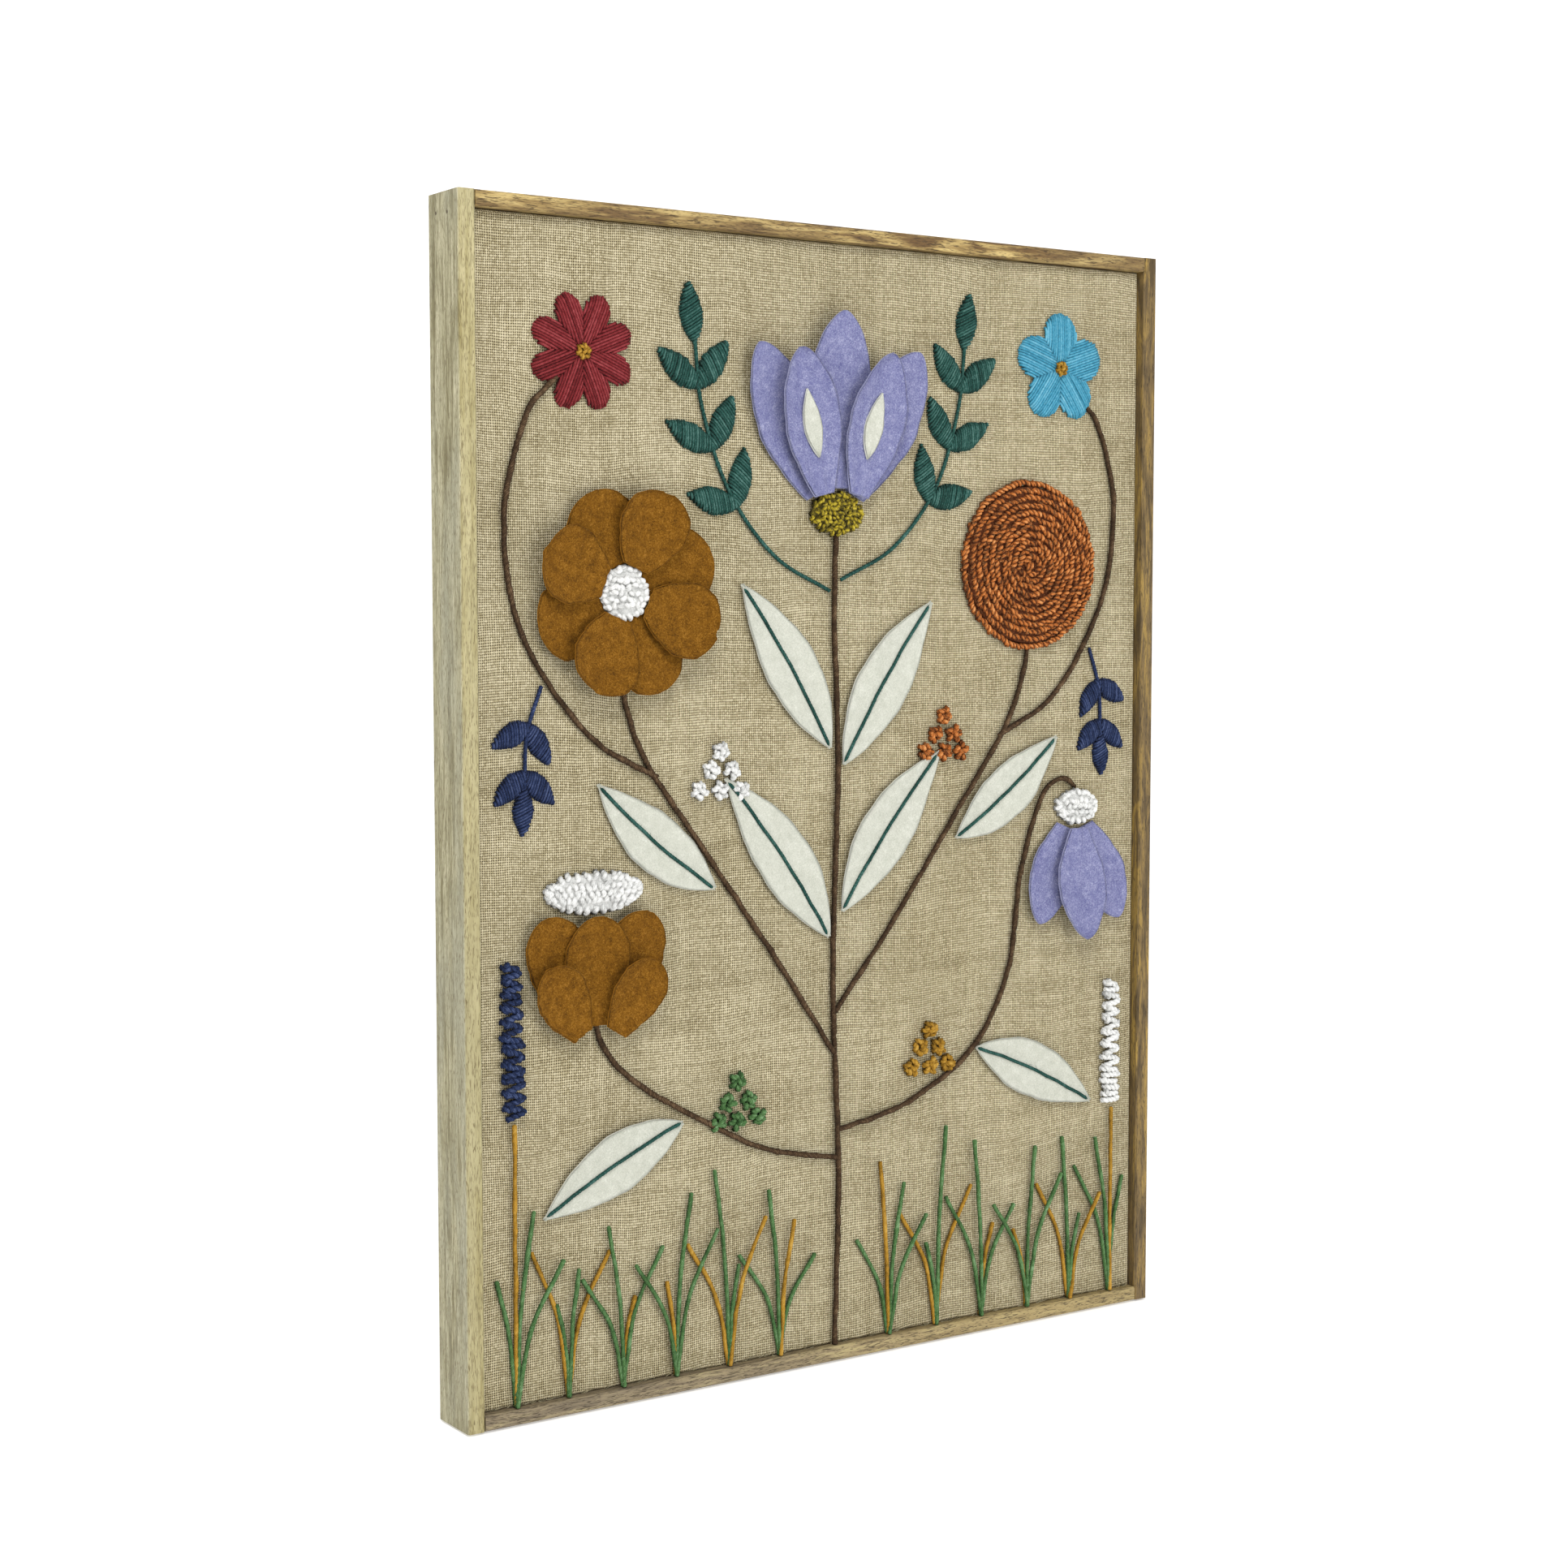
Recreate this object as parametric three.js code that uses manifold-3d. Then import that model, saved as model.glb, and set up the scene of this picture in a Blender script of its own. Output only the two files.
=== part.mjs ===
// Embroidered wall hanging in a butt-jointed wooden box frame.
// A jute ground cloth is wrapped round a stretcher and worked with felt cut-outs,
// tufted loops, stitched pads and couched yarn, in a mirrored posy.
// Millimetres, +Z up, the front faces -Y. The origin is the middle of the top board's back face.
import * as THREE from "three";
import { mergeVertices } from "three/addons/utils/BufferGeometryUtils.js";
import Module from "manifold-3d";

const wasm = await Module();
wasm.setup();

// Frame boards
const frameWidth = 600;
const frameHeight = 815;
const frameDepth = 43;
const sideBoardThick = 12.5;
const railThick = 10.5;
const boardEase = 1.2; // the eased arris along each board
const fitGap = 0.3; // between pieces that touch

// Ground cloth and the stretcher inside it
const clothRecess = 7; // from the frame's front edge back to the cloth
const clothThick = 1.2;
const clothToFrame = 0.5;
const clothFoldRadius = 2;
const hemWidth = 20; // turned over the stretcher's back
const barWidth = 28;
const barDepth = 15;

// Yarns, felt and pile
const feltThick = 2;
const layerStep = feltThick + 0.6; // from one felt layer to the next
const stemRadius = 2.1;
const sprigStemRadius = 1.6;
const bladeRadius = 1.7;
const padHeight = 2.4; // satin stitched pads
const pileHeight = 9; // tufted loops
const knotHeight = 7; // small tufted berries

// Places on the cloth: u runs across from its middle, v runs up from its bottom edge
const innerWidth = frameWidth - 2 * sideBoardThick;
const innerHeight = frameHeight - 2 * railThick;
const frameTop = railThick / 2;
const frameBottom = frameTop - frameHeight;
const clothFront = -frameDepth + clothRecess;
const place = (u, v, height) => new THREE.Vector3(u, clothFront - height, frameBottom + railThick + v);
const radians = THREE.MathUtils.degToRad;

// Colour and roughness of each stuff that the pieces are made of
const finishes = {
  paleWood: [0xc3b78f, 0.62],
  brownWood: [0xa58a5a, 0.6],
  stretcherWood: [0xd0b68a, 0.7],
  jute: [0xc2a97e, 0.95],
  creamFelt: [0xe3e0d2, 0.95],
  lilacFelt: [0x9f96c8, 0.95],
  ochreFelt: [0x9c6414, 0.95],
  rustWool: [0xab5423, 0.9],
  mustardWool: [0x98861c, 0.9],
  whiteCotton: [0xe9e8e4, 0.85],
  brownWool: [0x3f2c26, 0.95],
  greenWool: [0x4a7a3c, 0.95],
  tealWool: [0x28605a, 0.95],
  navyWool: [0x2b3664, 0.95],
  redWool: [0x98262b, 0.95],
  skyCotton: [0x4fa9c8, 0.85],
};

function materialOf(finish) {
  const [color, roughness] = finishes[finish];
  return new THREE.MeshStandardMaterial({ color, roughness, metalness: 0 });
}

// A closed geometry as a manifold solid, and back, for the pieces that are joined or cut
function toSolid(geometry) {
  const bare = new THREE.BufferGeometry();
  const source = geometry.index ? geometry.toNonIndexed() : geometry;
  bare.setAttribute("position", source.getAttribute("position"));
  const merged = mergeVertices(bare, 1e-3);
  return new wasm.Manifold(
    new wasm.Mesh({
      numProp: 3,
      vertProperties: merged.attributes.position.array,
      triVerts: new Uint32Array(merged.index.array),
    }),
  );
}

function toGeometry(solid) {
  const mesh = solid.getMesh();
  return new THREE.BufferGeometry()
    .setAttribute("position", new THREE.BufferAttribute(mesh.vertProperties, 3))
    .setIndex(new THREE.BufferAttribute(mesh.triVerts, 1));
}

function joined(geometries) {
  return toGeometry(geometries.map(toSolid).reduce((all, next) => all.add(next)));
}

// Each vertex of a geometry is moved to where map(x, y, z) says
function mapped(geometry, map) {
  const position = geometry.getAttribute("position");
  const point = new THREE.Vector3();
  for (let i = 0; i < position.count; i++) {
    point.fromBufferAttribute(position, i);
    const moved = map(point.x, point.y, point.z);
    position.setXYZ(i, moved.x, moved.y, moved.z);
  }
  return geometry;
}

const group = new THREE.Group();

function add(name, geometry, finish) {
  const mesh = new THREE.Mesh(geometry, materialOf(finish));
  mesh.name = name;
  group.add(mesh);
  return mesh;
}

// Wooden frame: the side boards run the full height and the rails fit between them
function boardSection(across, deep) {
  const x = across / 2;
  const y = deep / 2;
  const e = boardEase;
  return new THREE.Shape([
    [x - e, -y], [x, -y + e], [x, y - e], [x - e, y], [-x + e, y], [-x, y - e], [-x, -y + e], [-x + e, -y],
  ].map(([a, b]) => new THREE.Vector2(a, b)));
}

function addFrame() {
  for (const [name, side] of [["frame_left", -1], ["frame_right", 1]]) {
    const section = boardSection(sideBoardThick, frameDepth);
    const board = new THREE.ExtrudeGeometry(section, { depth: frameHeight, bevelEnabled: false });
    const mesh = add(name, board, side < 0 ? "paleWood" : "brownWood");
    mesh.position.set((side * (frameWidth - sideBoardThick)) / 2, -frameDepth / 2, frameBottom);
  }
  const railLength = innerWidth - 2 * fitGap;
  for (const [name, middle] of [["frame_top", 0], ["frame_bottom", frameBottom + railThick / 2]]) {
    const section = boardSection(railThick, frameDepth);
    const rail = new THREE.ExtrudeGeometry(section, { depth: railLength, bevelEnabled: false });
    const mesh = add(name, rail, "brownWood");
    mesh.rotation.y = Math.PI / 2;
    mesh.position.set(-railLength / 2, -frameDepth / 2, middle);
  }
}

// A flat outline in u and v, as a slab between two depths behind the cloth's front
function slab(outline, front, back, options = {}) {
  const shape = new THREE.Shape(outline.map(([u, v]) => new THREE.Vector2(u, v)));
  const geometry = new THREE.ExtrudeGeometry(shape, { depth: back - front, bevelEnabled: false, ...options });
  return mapped(geometry, (x, y, z) => place(x, y, -back + z));
}

const panelHalfWidth = innerWidth / 2 - clothToFrame;
const panelLow = clothToFrame;
const panelHigh = innerHeight - clothToFrame;
const barFront = clothThick + fitGap;
const barBack = barFront + barDepth;
const clothBack = barBack + fitGap + clothThick;

function rectangle(inset) {
  const half = panelHalfWidth - inset;
  const low = panelLow + inset;
  const high = panelHigh - inset;
  return [[-half, low], [half, low], [half, high], [-half, high]];
}

// Four mitred bars carry the cloth
function addStretcher() {
  const outer = rectangle(clothThick + fitGap);
  const inner = rectangle(clothThick + fitGap + barWidth);
  const names = ["stretcher_bottom", "stretcher_right", "stretcher_top", "stretcher_left"];
  const alongOf = [[1, 0], [0, 1], [-1, 0], [0, -1]];
  names.forEach((name, i) => {
    const next = (i + 1) % 4;
    const [alongU, alongV] = alongOf[i];
    // each end is drawn in, which keeps the mitred faces apart
    const drawnIn = ([u, v], by) => [u + by * alongU, v + by * alongV];
    const startEdge = [drawnIn(inner[i], fitGap), drawnIn(outer[i], fitGap)];
    const endEdge = [drawnIn(outer[next], -fitGap), drawnIn(inner[next], -fitGap)];
    add(name, slab([...startEdge, ...endEdge], barFront, barBack), "stretcherWood");
  });
}

// The cloth goes over the front, round the bars and on to their back, and is one piece
function addGroundCloth() {
  const bevel = {
    depth: clothBack - 2 * clothFoldRadius,
    bevelEnabled: true,
    bevelThickness: clothFoldRadius,
    bevelSize: clothFoldRadius,
    bevelOffset: -clothFoldRadius,
    bevelSegments: 3,
  };
  const outside = slab(rectangle(0), 0, clothBack - 2 * clothFoldRadius, bevel);
  outside.translate(0, clothFoldRadius, 0);
  const inside = slab(rectangle(clothThick), clothThick, clothBack - clothThick);
  const window = slab(rectangle(clothThick + hemWidth), barBack - 1, clothBack + 1);
  const cloth = toSolid(outside).subtract(toSolid(inside)).subtract(toSolid(window));
  add("ground_cloth", toGeometry(cloth), "jute");
}

// A strip from s = 0 at its base to s = 1 at its tip, with t from -1 to 1 across it
function strip({ base, angle, length, width, bend = 0 }, profile, rows, cols, heightAt) {
  const geometry = new THREE.BoxGeometry(2, 1, 1, cols, rows, 1);
  const turn = radians(bend);
  const start = radians(angle) - turn / 2;
  return mapped(geometry, (t, y, k) => {
    const s = y + 0.5;
    const heading = start + turn * s;
    const mean = start + (turn * s) / 2;
    const half = (width / 2) * profile(s);
    const u = base[0] + length * s * Math.cos(mean) + t * half * Math.sin(heading);
    const v = base[1] + length * s * Math.sin(mean) - t * half * Math.cos(heading);
    return place(u, v, heightAt(k > 0, t, u, v));
  });
}

const tipWidth = 0.05; // no outline narrows to nothing, so its ends stay cut faces
const swell = (s, at) => Math.sin((Math.PI / 2) * Math.min(1, s / at)); // from the base to its widest
const close = (s, from) => Math.max(0, (s - from) / (1 - from)); // from there to the tip
const profiles = {
  leaf: (s) => Math.max(tipWidth, Math.sin(Math.PI * s ** 0.92) ** 0.9),
  point: (s) => Math.max(tipWidth, (0.34 + 0.66 * swell(s, 0.55)) * (1 - close(s, 0.5) ** 1.7) ** 0.6),
  round: (s) => Math.max(3 * tipWidth, (0.42 + 0.58 * swell(s, 0.6)) * (1 - close(s, 0.6) ** 2) ** 0.5),
  spike: (s) => 0.72 + 0.28 * Math.cos(s * Math.PI * 14) - 0.35 * s ** 3,
};

// Felt cut-outs lie in layers, and those of one flower are lifted alike
function felt(piece, profile, cols, lift) {
  const rows = 10;
  const bottom = fitGap + (piece.layer ?? 0) * layerStep;
  const height = (top, t, u, v) => bottom + (top ? feltThick : 0) + lift(t, u, v);
  return strip(piece, profile, rows, cols, height);
}

const feltLeaves = [
  { base: [-5, 436], angle: 123, length: 138, width: 43, bend: 10 },
  { base: [7, 424], angle: 56, length: 140, width: 44, bend: -10 },
  { base: [-6, 300], angle: 127, length: 146, width: 44, bend: 12 },
  { base: [6, 318], angle: 52, length: 142, width: 44, bend: -12 },
  { base: [-103, 341], angle: 141, length: 120, width: 40, bend: -14 },
  { base: [110, 366], angle: 37, length: 120, width: 40, bend: 14 },
  { base: [-130, 179], angle: 206, length: 122, width: 41, bend: 12 },
  { base: [130, 206], angle: -25, length: 124, width: 41, bend: -12 },
];

function addFeltLeaves() {
  const edgeLift = 1.4; // the midrib is stitched down and the edges stand off
  feltLeaves.forEach((leaf, i) => {
    add(`felt_leaf_${i + 1}`, felt(leaf, profiles.leaf, 4, (t) => edgeLift * t * t), "creamFelt");
  });
}

// A felt flower rises from its foot towards its rim, with one wave for each lobe
function bowl({ foot, reach, rise, ripple, lobes }) {
  return (t, u, v) => {
    const away = Math.hypot(u - foot[0], v - foot[1]) / reach;
    const turn = Math.atan2(v - foot[1], u - foot[0]);
    return away * (rise * away + ripple * (1 + Math.cos(lobes * turn)));
  };
}

// Petals that fan out from a flower's foot, each with its place from that foot
const fans = [
  { name: "tulip", foot: [0, 604], reach: 140, rise: 7, ripple: 0.9, lobes: 8,
    profile: "point", finish: "lilacFelt", petals: [
    { at: [-17, 12], angle: 117, length: 116, width: 52, layer: 0 },
    { at: [17, 12], angle: 63, length: 116, width: 52, layer: 0 },
    { at: [0, 17], angle: 90, length: 124, width: 58, layer: 1 },
    { at: [-15, 12], angle: 104, length: 104, width: 48, layer: 2 },
    { at: [15, 12], angle: 76, length: 104, width: 48, layer: 2 },
  ] },
  { name: "thistle", foot: [-200, 246], reach: 90, rise: 5, ripple: 0.9, lobes: 10,
    profile: "round", finish: "ochreFelt", petals: [
    { at: [-13, 14], angle: 112, length: 74, width: 46, layer: 0 },
    { at: [13, 14], angle: 68, length: 74, width: 46, layer: 0 },
    { at: [0, 8], angle: 90, length: 74, width: 50, layer: 1 },
    { at: [-13, 3], angle: 122, length: 55, width: 38, layer: 2 },
    { at: [13, 3], angle: 58, length: 55, width: 38, layer: 2 },
  ] },
  { name: "bell", foot: [226, 384], reach: 100, rise: 6, ripple: 1, lobes: 8,
    profile: "point", finish: "lilacFelt", petals: [
    { at: [-11, -15], angle: 248, length: 78, width: 42, layer: 0 },
    { at: [11, -15], angle: 292, length: 78, width: 42, layer: 0 },
    { at: [0, -17], angle: 270, length: 84, width: 48, layer: 1 },
  ] },
];
const slips = [
  { name: "tulip_slip_left", at: [-21, 38], angle: 104, length: 48, width: 15, layer: 3 },
  { name: "tulip_slip_right", at: [21, 38], angle: 76, length: 48, width: 15, layer: 3 },
];

const fromFoot = (piece, foot) => ({ ...piece, base: [foot[0] + piece.at[0], foot[1] + piece.at[1]] });

function addFans() {
  for (const fan of fans) {
    fan.petals.forEach((petal, i) => {
      const geometry = felt(fromFoot(petal, fan.foot), profiles[fan.profile], 4, bowl(fan));
      add(`${fan.name}_petal_${i + 1}`, geometry, fan.finish);
    });
  }
  const [tulip] = fans;
  for (const slip of slips) {
    add(slip.name, felt(fromFoot(slip, tulip.foot), profiles.leaf, 2, bowl(tulip)), "creamFelt");
  }
}

// The daisy's petals lie in two rings, four over four
const daisy = { foot: [-176, 546], eye: 19, reach: 72, petals: 8, width: 52, rise: 5, ripple: 0.8, lobes: 4 };

function addDaisy() {
  const inner = daisy.eye + 2;
  for (let i = 0; i < daisy.petals; i++) {
    const angle = (360 / daisy.petals) * (i + 0.5);
    const at = [inner * Math.cos(radians(angle)), inner * Math.sin(radians(angle))];
    const petal = { at, angle, length: daisy.reach - inner, width: daisy.width, layer: i % 2 };
    const geometry = felt(fromFoot(petal, daisy.foot), profiles.round, 4, bowl(daisy));
    add(`daisy_petal_${i + 1}`, geometry, "ochreFelt");
  }
}

// Tufted mounds: a turned profile with a knobbly top and edge
const domeOutline = [[0, 0], [0.95, 0], [1, 0.5], [0.82, 0.88], [0.45, 1], [0, 0.97]];
const knotOutline = [[0, 0], [1, 0], [0.9, 0.7], [0.45, 1], [0, 1]];

function mound({ foot, radius, height, segments, outline = domeOutline }) {
  const points = outline.map(([r, h]) => new THREE.Vector2(r, h));
  const edgeBump = 0.05; // shares of the radius and of the height
  const topBump = 0.1;
  return mapped(new THREE.LatheGeometry(points, segments), (x, h, z) => {
    const turn = Math.atan2(z, x);
    const bump = 1 + edgeBump * Math.cos((turn * segments) / 2);
    const lift = 1 + topBump * Math.hypot(x, z) * h * Math.cos(turn * 5 + h * 6);
    const [across, along] = [x * radius[0] * bump, -z * radius[1] * bump];
    return place(foot[0] + across, foot[1] + along, fitGap + h * lift * height);
  });
}

const mounds = [
  { name: "dahlia", foot: [178, 568], radius: [64, 64], segments: 32, finish: "rustWool" },
  { name: "daisy_eye", foot: daisy.foot, radius: [daisy.eye, daisy.eye], segments: 20, finish: "whiteCotton" },
  { name: "tulip_cup", foot: [0, 603], radius: [22, 15], segments: 20, finish: "mustardWool" },
  { name: "thistle_crown", foot: [-200, 344], radius: [38, 14], segments: 24, finish: "whiteCotton" },
  { name: "bell_cap", foot: [226, 384], radius: [20, 13.5], segments: 20, finish: "whiteCotton" },
];

function addMounds() {
  for (const item of mounds) {
    add(item.name, mound({ ...item, height: pileHeight }), item.finish);
  }
}

// Stitched flowers: one lobed pad each, thickest in the middle
const stitchedFlowers = [
  { name: "red_flower", foot: [-206, 706], reach: 40, lobes: 8, waist: 0.5, start: 22, finish: "redWool" },
  { name: "sky_flower", foot: [208, 716], reach: 41, lobes: 5, waist: 0.46, start: 18, finish: "skyCotton" },
];
const padOutline = [[0, 0], [1, 0], [0.94, 0.6], [0.55, 1], [0, 1.5]];

function addStitchedFlowers() {
  const points = padOutline.map(([r, h]) => new THREE.Vector2(r, h));
  for (const { name, foot, reach, lobes, waist, start, finish } of stitchedFlowers) {
    const geometry = mapped(new THREE.LatheGeometry(points, lobes * 6), (x, h, z) => {
      const turn = Math.atan2(-z, x);
      const lobe = Math.abs(Math.cos(((turn - radians(start)) * lobes) / 2));
      const r = Math.hypot(x, z) * reach * (waist + (1 - waist) * Math.sqrt(lobe));
      return place(foot[0] + r * Math.cos(turn), foot[1] + r * Math.sin(turn), fitGap + h * padHeight);
    });
    add(name, geometry, finish);
  }
}

// Couched yarn follows a smooth curve through its points
const flatCurve = (path) => new THREE.CatmullRomCurve3(path.map(([u, v]) => new THREE.Vector3(u, v, 0)));

function yarn(path, radius, sides, steps) {
  const points = path.map(([u, v]) => place(u, v, fitGap + radius));
  const section = Array.from({ length: sides }, (_, i) => {
    const turn = ((i + 0.5) / sides) * 2 * Math.PI;
    return new THREE.Vector2(radius * Math.cos(turn), radius * Math.sin(turn));
  });
  const extrudePath = new THREE.CatmullRomCurve3(points);
  return new THREE.ExtrudeGeometry(new THREE.Shape(section), { steps, bevelEnabled: false, extrudePath });
}

// The centre stem, then its arms, feet and outer shoots
const stems = {
  centre: [[0, 1], [3, 130], [-2, 270], [2, 420], [-1, 520], [0, 587]],
  leftArm: [[-1, 215], [-50, 285], [-112, 368], [-158, 430], [-175, 472]],
  rightArm: [[0, 245], [54, 310], [114, 390], [158, 450], [176, 498]],
  leftFoot: [[3, 138], [-60, 152], [-124, 184], [-172, 214], [-197, 243]],
  rightFoot: [[3, 158], [66, 172], [126, 206], [160, 262], [172, 336], [192, 392], [212, 406], [226, 399]],
  leftShoot: [[-150, 420], [-205, 452], [-254, 520], [-266, 596], [-250, 660], [-234, 680]],
  rightShoot: [[150, 440], [205, 472], [250, 540], [262, 606], [255, 650], [243, 680]],
};

function addStems() {
  const yarns = Object.values(stems).map((path) => yarn(path, stemRadius, 6, 3 * path.length));
  add("brown_stems", joined(yarns), "brownWool");
}

// Sprigs: a thin stem with stitched leaves in pairs and one at its tip
const sprigs = [
  { name: "teal_frond_left", path: [[-5, 548], [-52, 572], [-90, 616], [-112, 672], [-118, 718]],
    pairs: [0.46, 0.66, 0.86], length: 42, width: 18, splay: 44, finish: "tealWool" },
  { name: "teal_frond_right", path: [[5, 556], [52, 580], [90, 624], [110, 680], [116, 726]],
    pairs: [0.46, 0.66, 0.86], length: 42, width: 18, splay: 44, finish: "tealWool" },
  { name: "navy_sprig_left", path: [[-239, 484], [-250, 452], [-252, 416]],
    pairs: [0.4, 0.85], length: 32, width: 15, splay: 46, finish: "navyWool" },
  { name: "navy_sprig_right", path: [[239, 505], [249, 474], [251, 438]],
    pairs: [0.4, 0.85], length: 32, width: 15, splay: 46, finish: "navyWool" },
];

function stitchedLeaf(leaf) {
  const edge = 0.6;
  return strip(leaf, profiles.leaf, 4, 2, (top, t) => fitGap + (top ? edge + padHeight * (1 - t * t) : 0));
}

function addSprigs() {
  const footUnderStem = 1;
  for (const { name, path, pairs, length, width, splay, finish } of sprigs) {
    const curve = flatCurve(path);
    const parts = [yarn(path, sprigStemRadius, 4, 2 * path.length)];
    for (const along of [...pairs, 1]) {
      const at = curve.getPoint(along);
      const ahead = curve.getTangent(along);
      const heading = THREE.MathUtils.radToDeg(Math.atan2(ahead.y, ahead.x));
      for (const side of along === 1 ? [0] : [-splay, splay]) {
        const angle = heading + side;
        const u = at.x - footUnderStem * Math.cos(radians(angle));
        const v = at.y - footUnderStem * Math.sin(radians(angle));
        parts.push(stitchedLeaf({ base: [u, v], angle, length, width }));
      }
    }
    add(name, joined(parts), finish);
  }
}

// Tufted spikes on tall blades, and bunches of tufted berries
const spikes = [
  { name: "navy_spike", base: [-262, 196], angle: 91, length: 104, width: 19, finish: "navyWool" },
  { name: "white_spike", base: [263, 150], angle: 90, length: 96, width: 20, finish: "whiteCotton" },
];
const bunches = [
  { name: "white_berries", foot: [-98, 436], finish: "whiteCotton" },
  { name: "rust_berries", foot: [98, 456], finish: "rustWool" },
  { name: "green_berries", foot: [-84, 202], finish: "greenWool" },
  { name: "mustard_berries", foot: [86, 224], finish: "mustardWool" },
];
const bunchRows = 3;
const berryRadius = 9;
const berryPitch = 17;
const berryRowPitch = 13.4;

function addSpikesAndBunches() {
  const edgeHeight = 2.5;
  const dome = (top, t) => fitGap + (top ? edgeHeight + (knotHeight - edgeHeight) * (1 - t * t) : 0);
  for (const spike of spikes) {
    add(spike.name, strip(spike, profiles.spike, 14, 2, dome), spike.finish);
  }
  for (const { name, foot, finish } of bunches) {
    const berries = [];
    for (let row = 0; row < bunchRows; row++) {
      for (let i = 0; i <= row; i++) {
        const at = [foot[0] + (i - row / 2) * berryPitch, foot[1] + row * berryRowPitch];
        const radius = [berryRadius, berryRadius];
        berries.push(mound({ foot: at, radius, height: knotHeight, segments: 8, outline: knotOutline }));
      }
    }
    add(name, joined(berries), finish);
  }
}

// Grass: tufts of four blades that cross those of their neighbours
const grass = [
  { name: "grass_left", tufts: [
    { foot: -262, lean: [-14, 0, 14, 36], tall: [88, 192, 132, 96] },
    { foot: -222, lean: [-28, -9, 8, 33], tall: [104, 66, 88, 97] },
    { foot: -179, lean: [-32, -12, 10, 32], tall: [80, 114, 62, 94] },
    { foot: -136, lean: [-33, -7, 13, 34], tall: [84, 68, 128, 100] },
    { foot: -92, lean: [-34, -12, 8, 30], tall: [92, 142, 72, 104] },
    { foot: -49, lean: [-34, -10, 12, 31], tall: [78, 122, 98, 70] },
  ] },
  { name: "grass_right", tufts: [
    { foot: 48, lean: [-28, -8, 14, 34], tall: [74, 130, 112, 86] },
    { foot: 92, lean: [-34, -10, 8, 34], tall: [90, 64, 150, 102] },
    { foot: 135, lean: [-34, -8, 12, 32], tall: [96, 136, 70, 82] },
    { foot: 180, lean: [-34, -13, 8, 33], tall: [84, 62, 124, 100] },
    { foot: 222, lean: [-32, -8, 10, 30], tall: [94, 128, 66, 80] },
    { foot: 263, lean: [-36, -16, 0, 14], tall: [104, 124, 146, 90] },
  ] },
];

function addGrass() {
  for (const { name, tufts } of grass) {
    const blades = [];
    for (const { foot, lean, tall } of tufts) {
      lean.forEach((across, i) => {
        const path = [[foot, 1], [foot + 0.3 * across, 0.55 * tall[i]], [foot + across, tall[i]]];
        blades.push(yarn(path, bladeRadius, 4, 4));
      });
    }
    add(name, joined(blades), "greenWool");
  }
}

addFrame();
addStretcher();
addGroundCloth();
addFeltLeaves();
addFans();
addDaisy();
addMounds();
addStitchedFlowers();
addStems();
addSprigs();
addSpikesAndBunches();
addGrass();

export default group;
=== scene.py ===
from math import atan2, cos, hypot, pi, radians, sin, sqrt, tan

import bpy
import numpy as np
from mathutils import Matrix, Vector


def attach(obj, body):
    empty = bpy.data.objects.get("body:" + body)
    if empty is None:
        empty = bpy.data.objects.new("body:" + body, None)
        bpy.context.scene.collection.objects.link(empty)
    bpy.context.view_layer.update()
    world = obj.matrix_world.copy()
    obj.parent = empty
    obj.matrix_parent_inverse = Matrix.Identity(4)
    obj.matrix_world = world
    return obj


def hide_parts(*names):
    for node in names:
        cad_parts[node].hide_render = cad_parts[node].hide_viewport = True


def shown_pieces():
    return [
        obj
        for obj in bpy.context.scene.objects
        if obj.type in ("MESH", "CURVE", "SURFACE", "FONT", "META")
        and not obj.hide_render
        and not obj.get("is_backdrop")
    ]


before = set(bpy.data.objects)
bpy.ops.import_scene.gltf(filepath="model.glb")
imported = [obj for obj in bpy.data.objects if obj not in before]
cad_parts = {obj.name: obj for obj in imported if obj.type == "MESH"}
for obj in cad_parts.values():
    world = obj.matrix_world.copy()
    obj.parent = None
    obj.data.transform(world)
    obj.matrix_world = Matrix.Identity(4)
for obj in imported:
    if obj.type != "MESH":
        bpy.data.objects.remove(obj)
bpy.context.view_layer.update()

chance = np.random.default_rng(7)

# camera, fitted to the frame's corners in the photograph
camera = {"place": (-1.050, -1.520, -0.263), "forward": (0.5601, 0.8255, -0.0695), "lens": 58.2, "near": 0.05}

lens = bpy.data.cameras.new("camera")
lens.lens = camera["lens"]
lens.sensor_width = 36
lens.clip_start = camera["near"]
viewer = bpy.data.objects.new("camera", lens)
viewer.location = camera["place"]
viewer.rotation_euler = Vector(camera["forward"]).to_track_quat("-Z", "Y").to_euler()
bpy.context.scene.collection.objects.link(viewer)
bpy.context.scene.camera = viewer
print("camera set")


# shader maths: a Link is one output socket, and an expression on Links adds Math nodes
class Link:
    def __init__(self, finish, socket):
        self.finish = finish
        self.socket = socket

    def math(self, operation, *values):
        return self.finish.node("Math", {"operation": operation}, dict(enumerate(values)))

    def __add__(self, other):
        return self.math("ADD", self, other)

    __radd__ = __add__

    def __sub__(self, other):
        return self.math("SUBTRACT", self, other)

    def __rsub__(self, other):
        return self.math("SUBTRACT", other, self)

    def __mul__(self, other):
        return self.math("MULTIPLY", self, other)

    __rmul__ = __mul__

    def __truediv__(self, other):
        return self.math("DIVIDE", self, other)

    def __pow__(self, other):
        return self.math("POWER", self, other)

    def __mod__(self, other):
        return self.math("FLOORED_MODULO", self, other)

    def fraction(self):
        return self.math("FRACT", self)

    def floor(self):
        return self.math("FLOOR", self)

    def sine(self):
        return self.math("SINE", self)

    def size(self):
        return self.math("ABSOLUTE", self)

    def most(self, other):
        return self.math("MAXIMUM", self, other)

    def over(self, low, high):  # 0 at low, 1 at high, smooth between
        return self.finish.node("MapRange", {"interpolation_type": "SMOOTHSTEP"}, {0: self, 1: low, 2: high})


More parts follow.
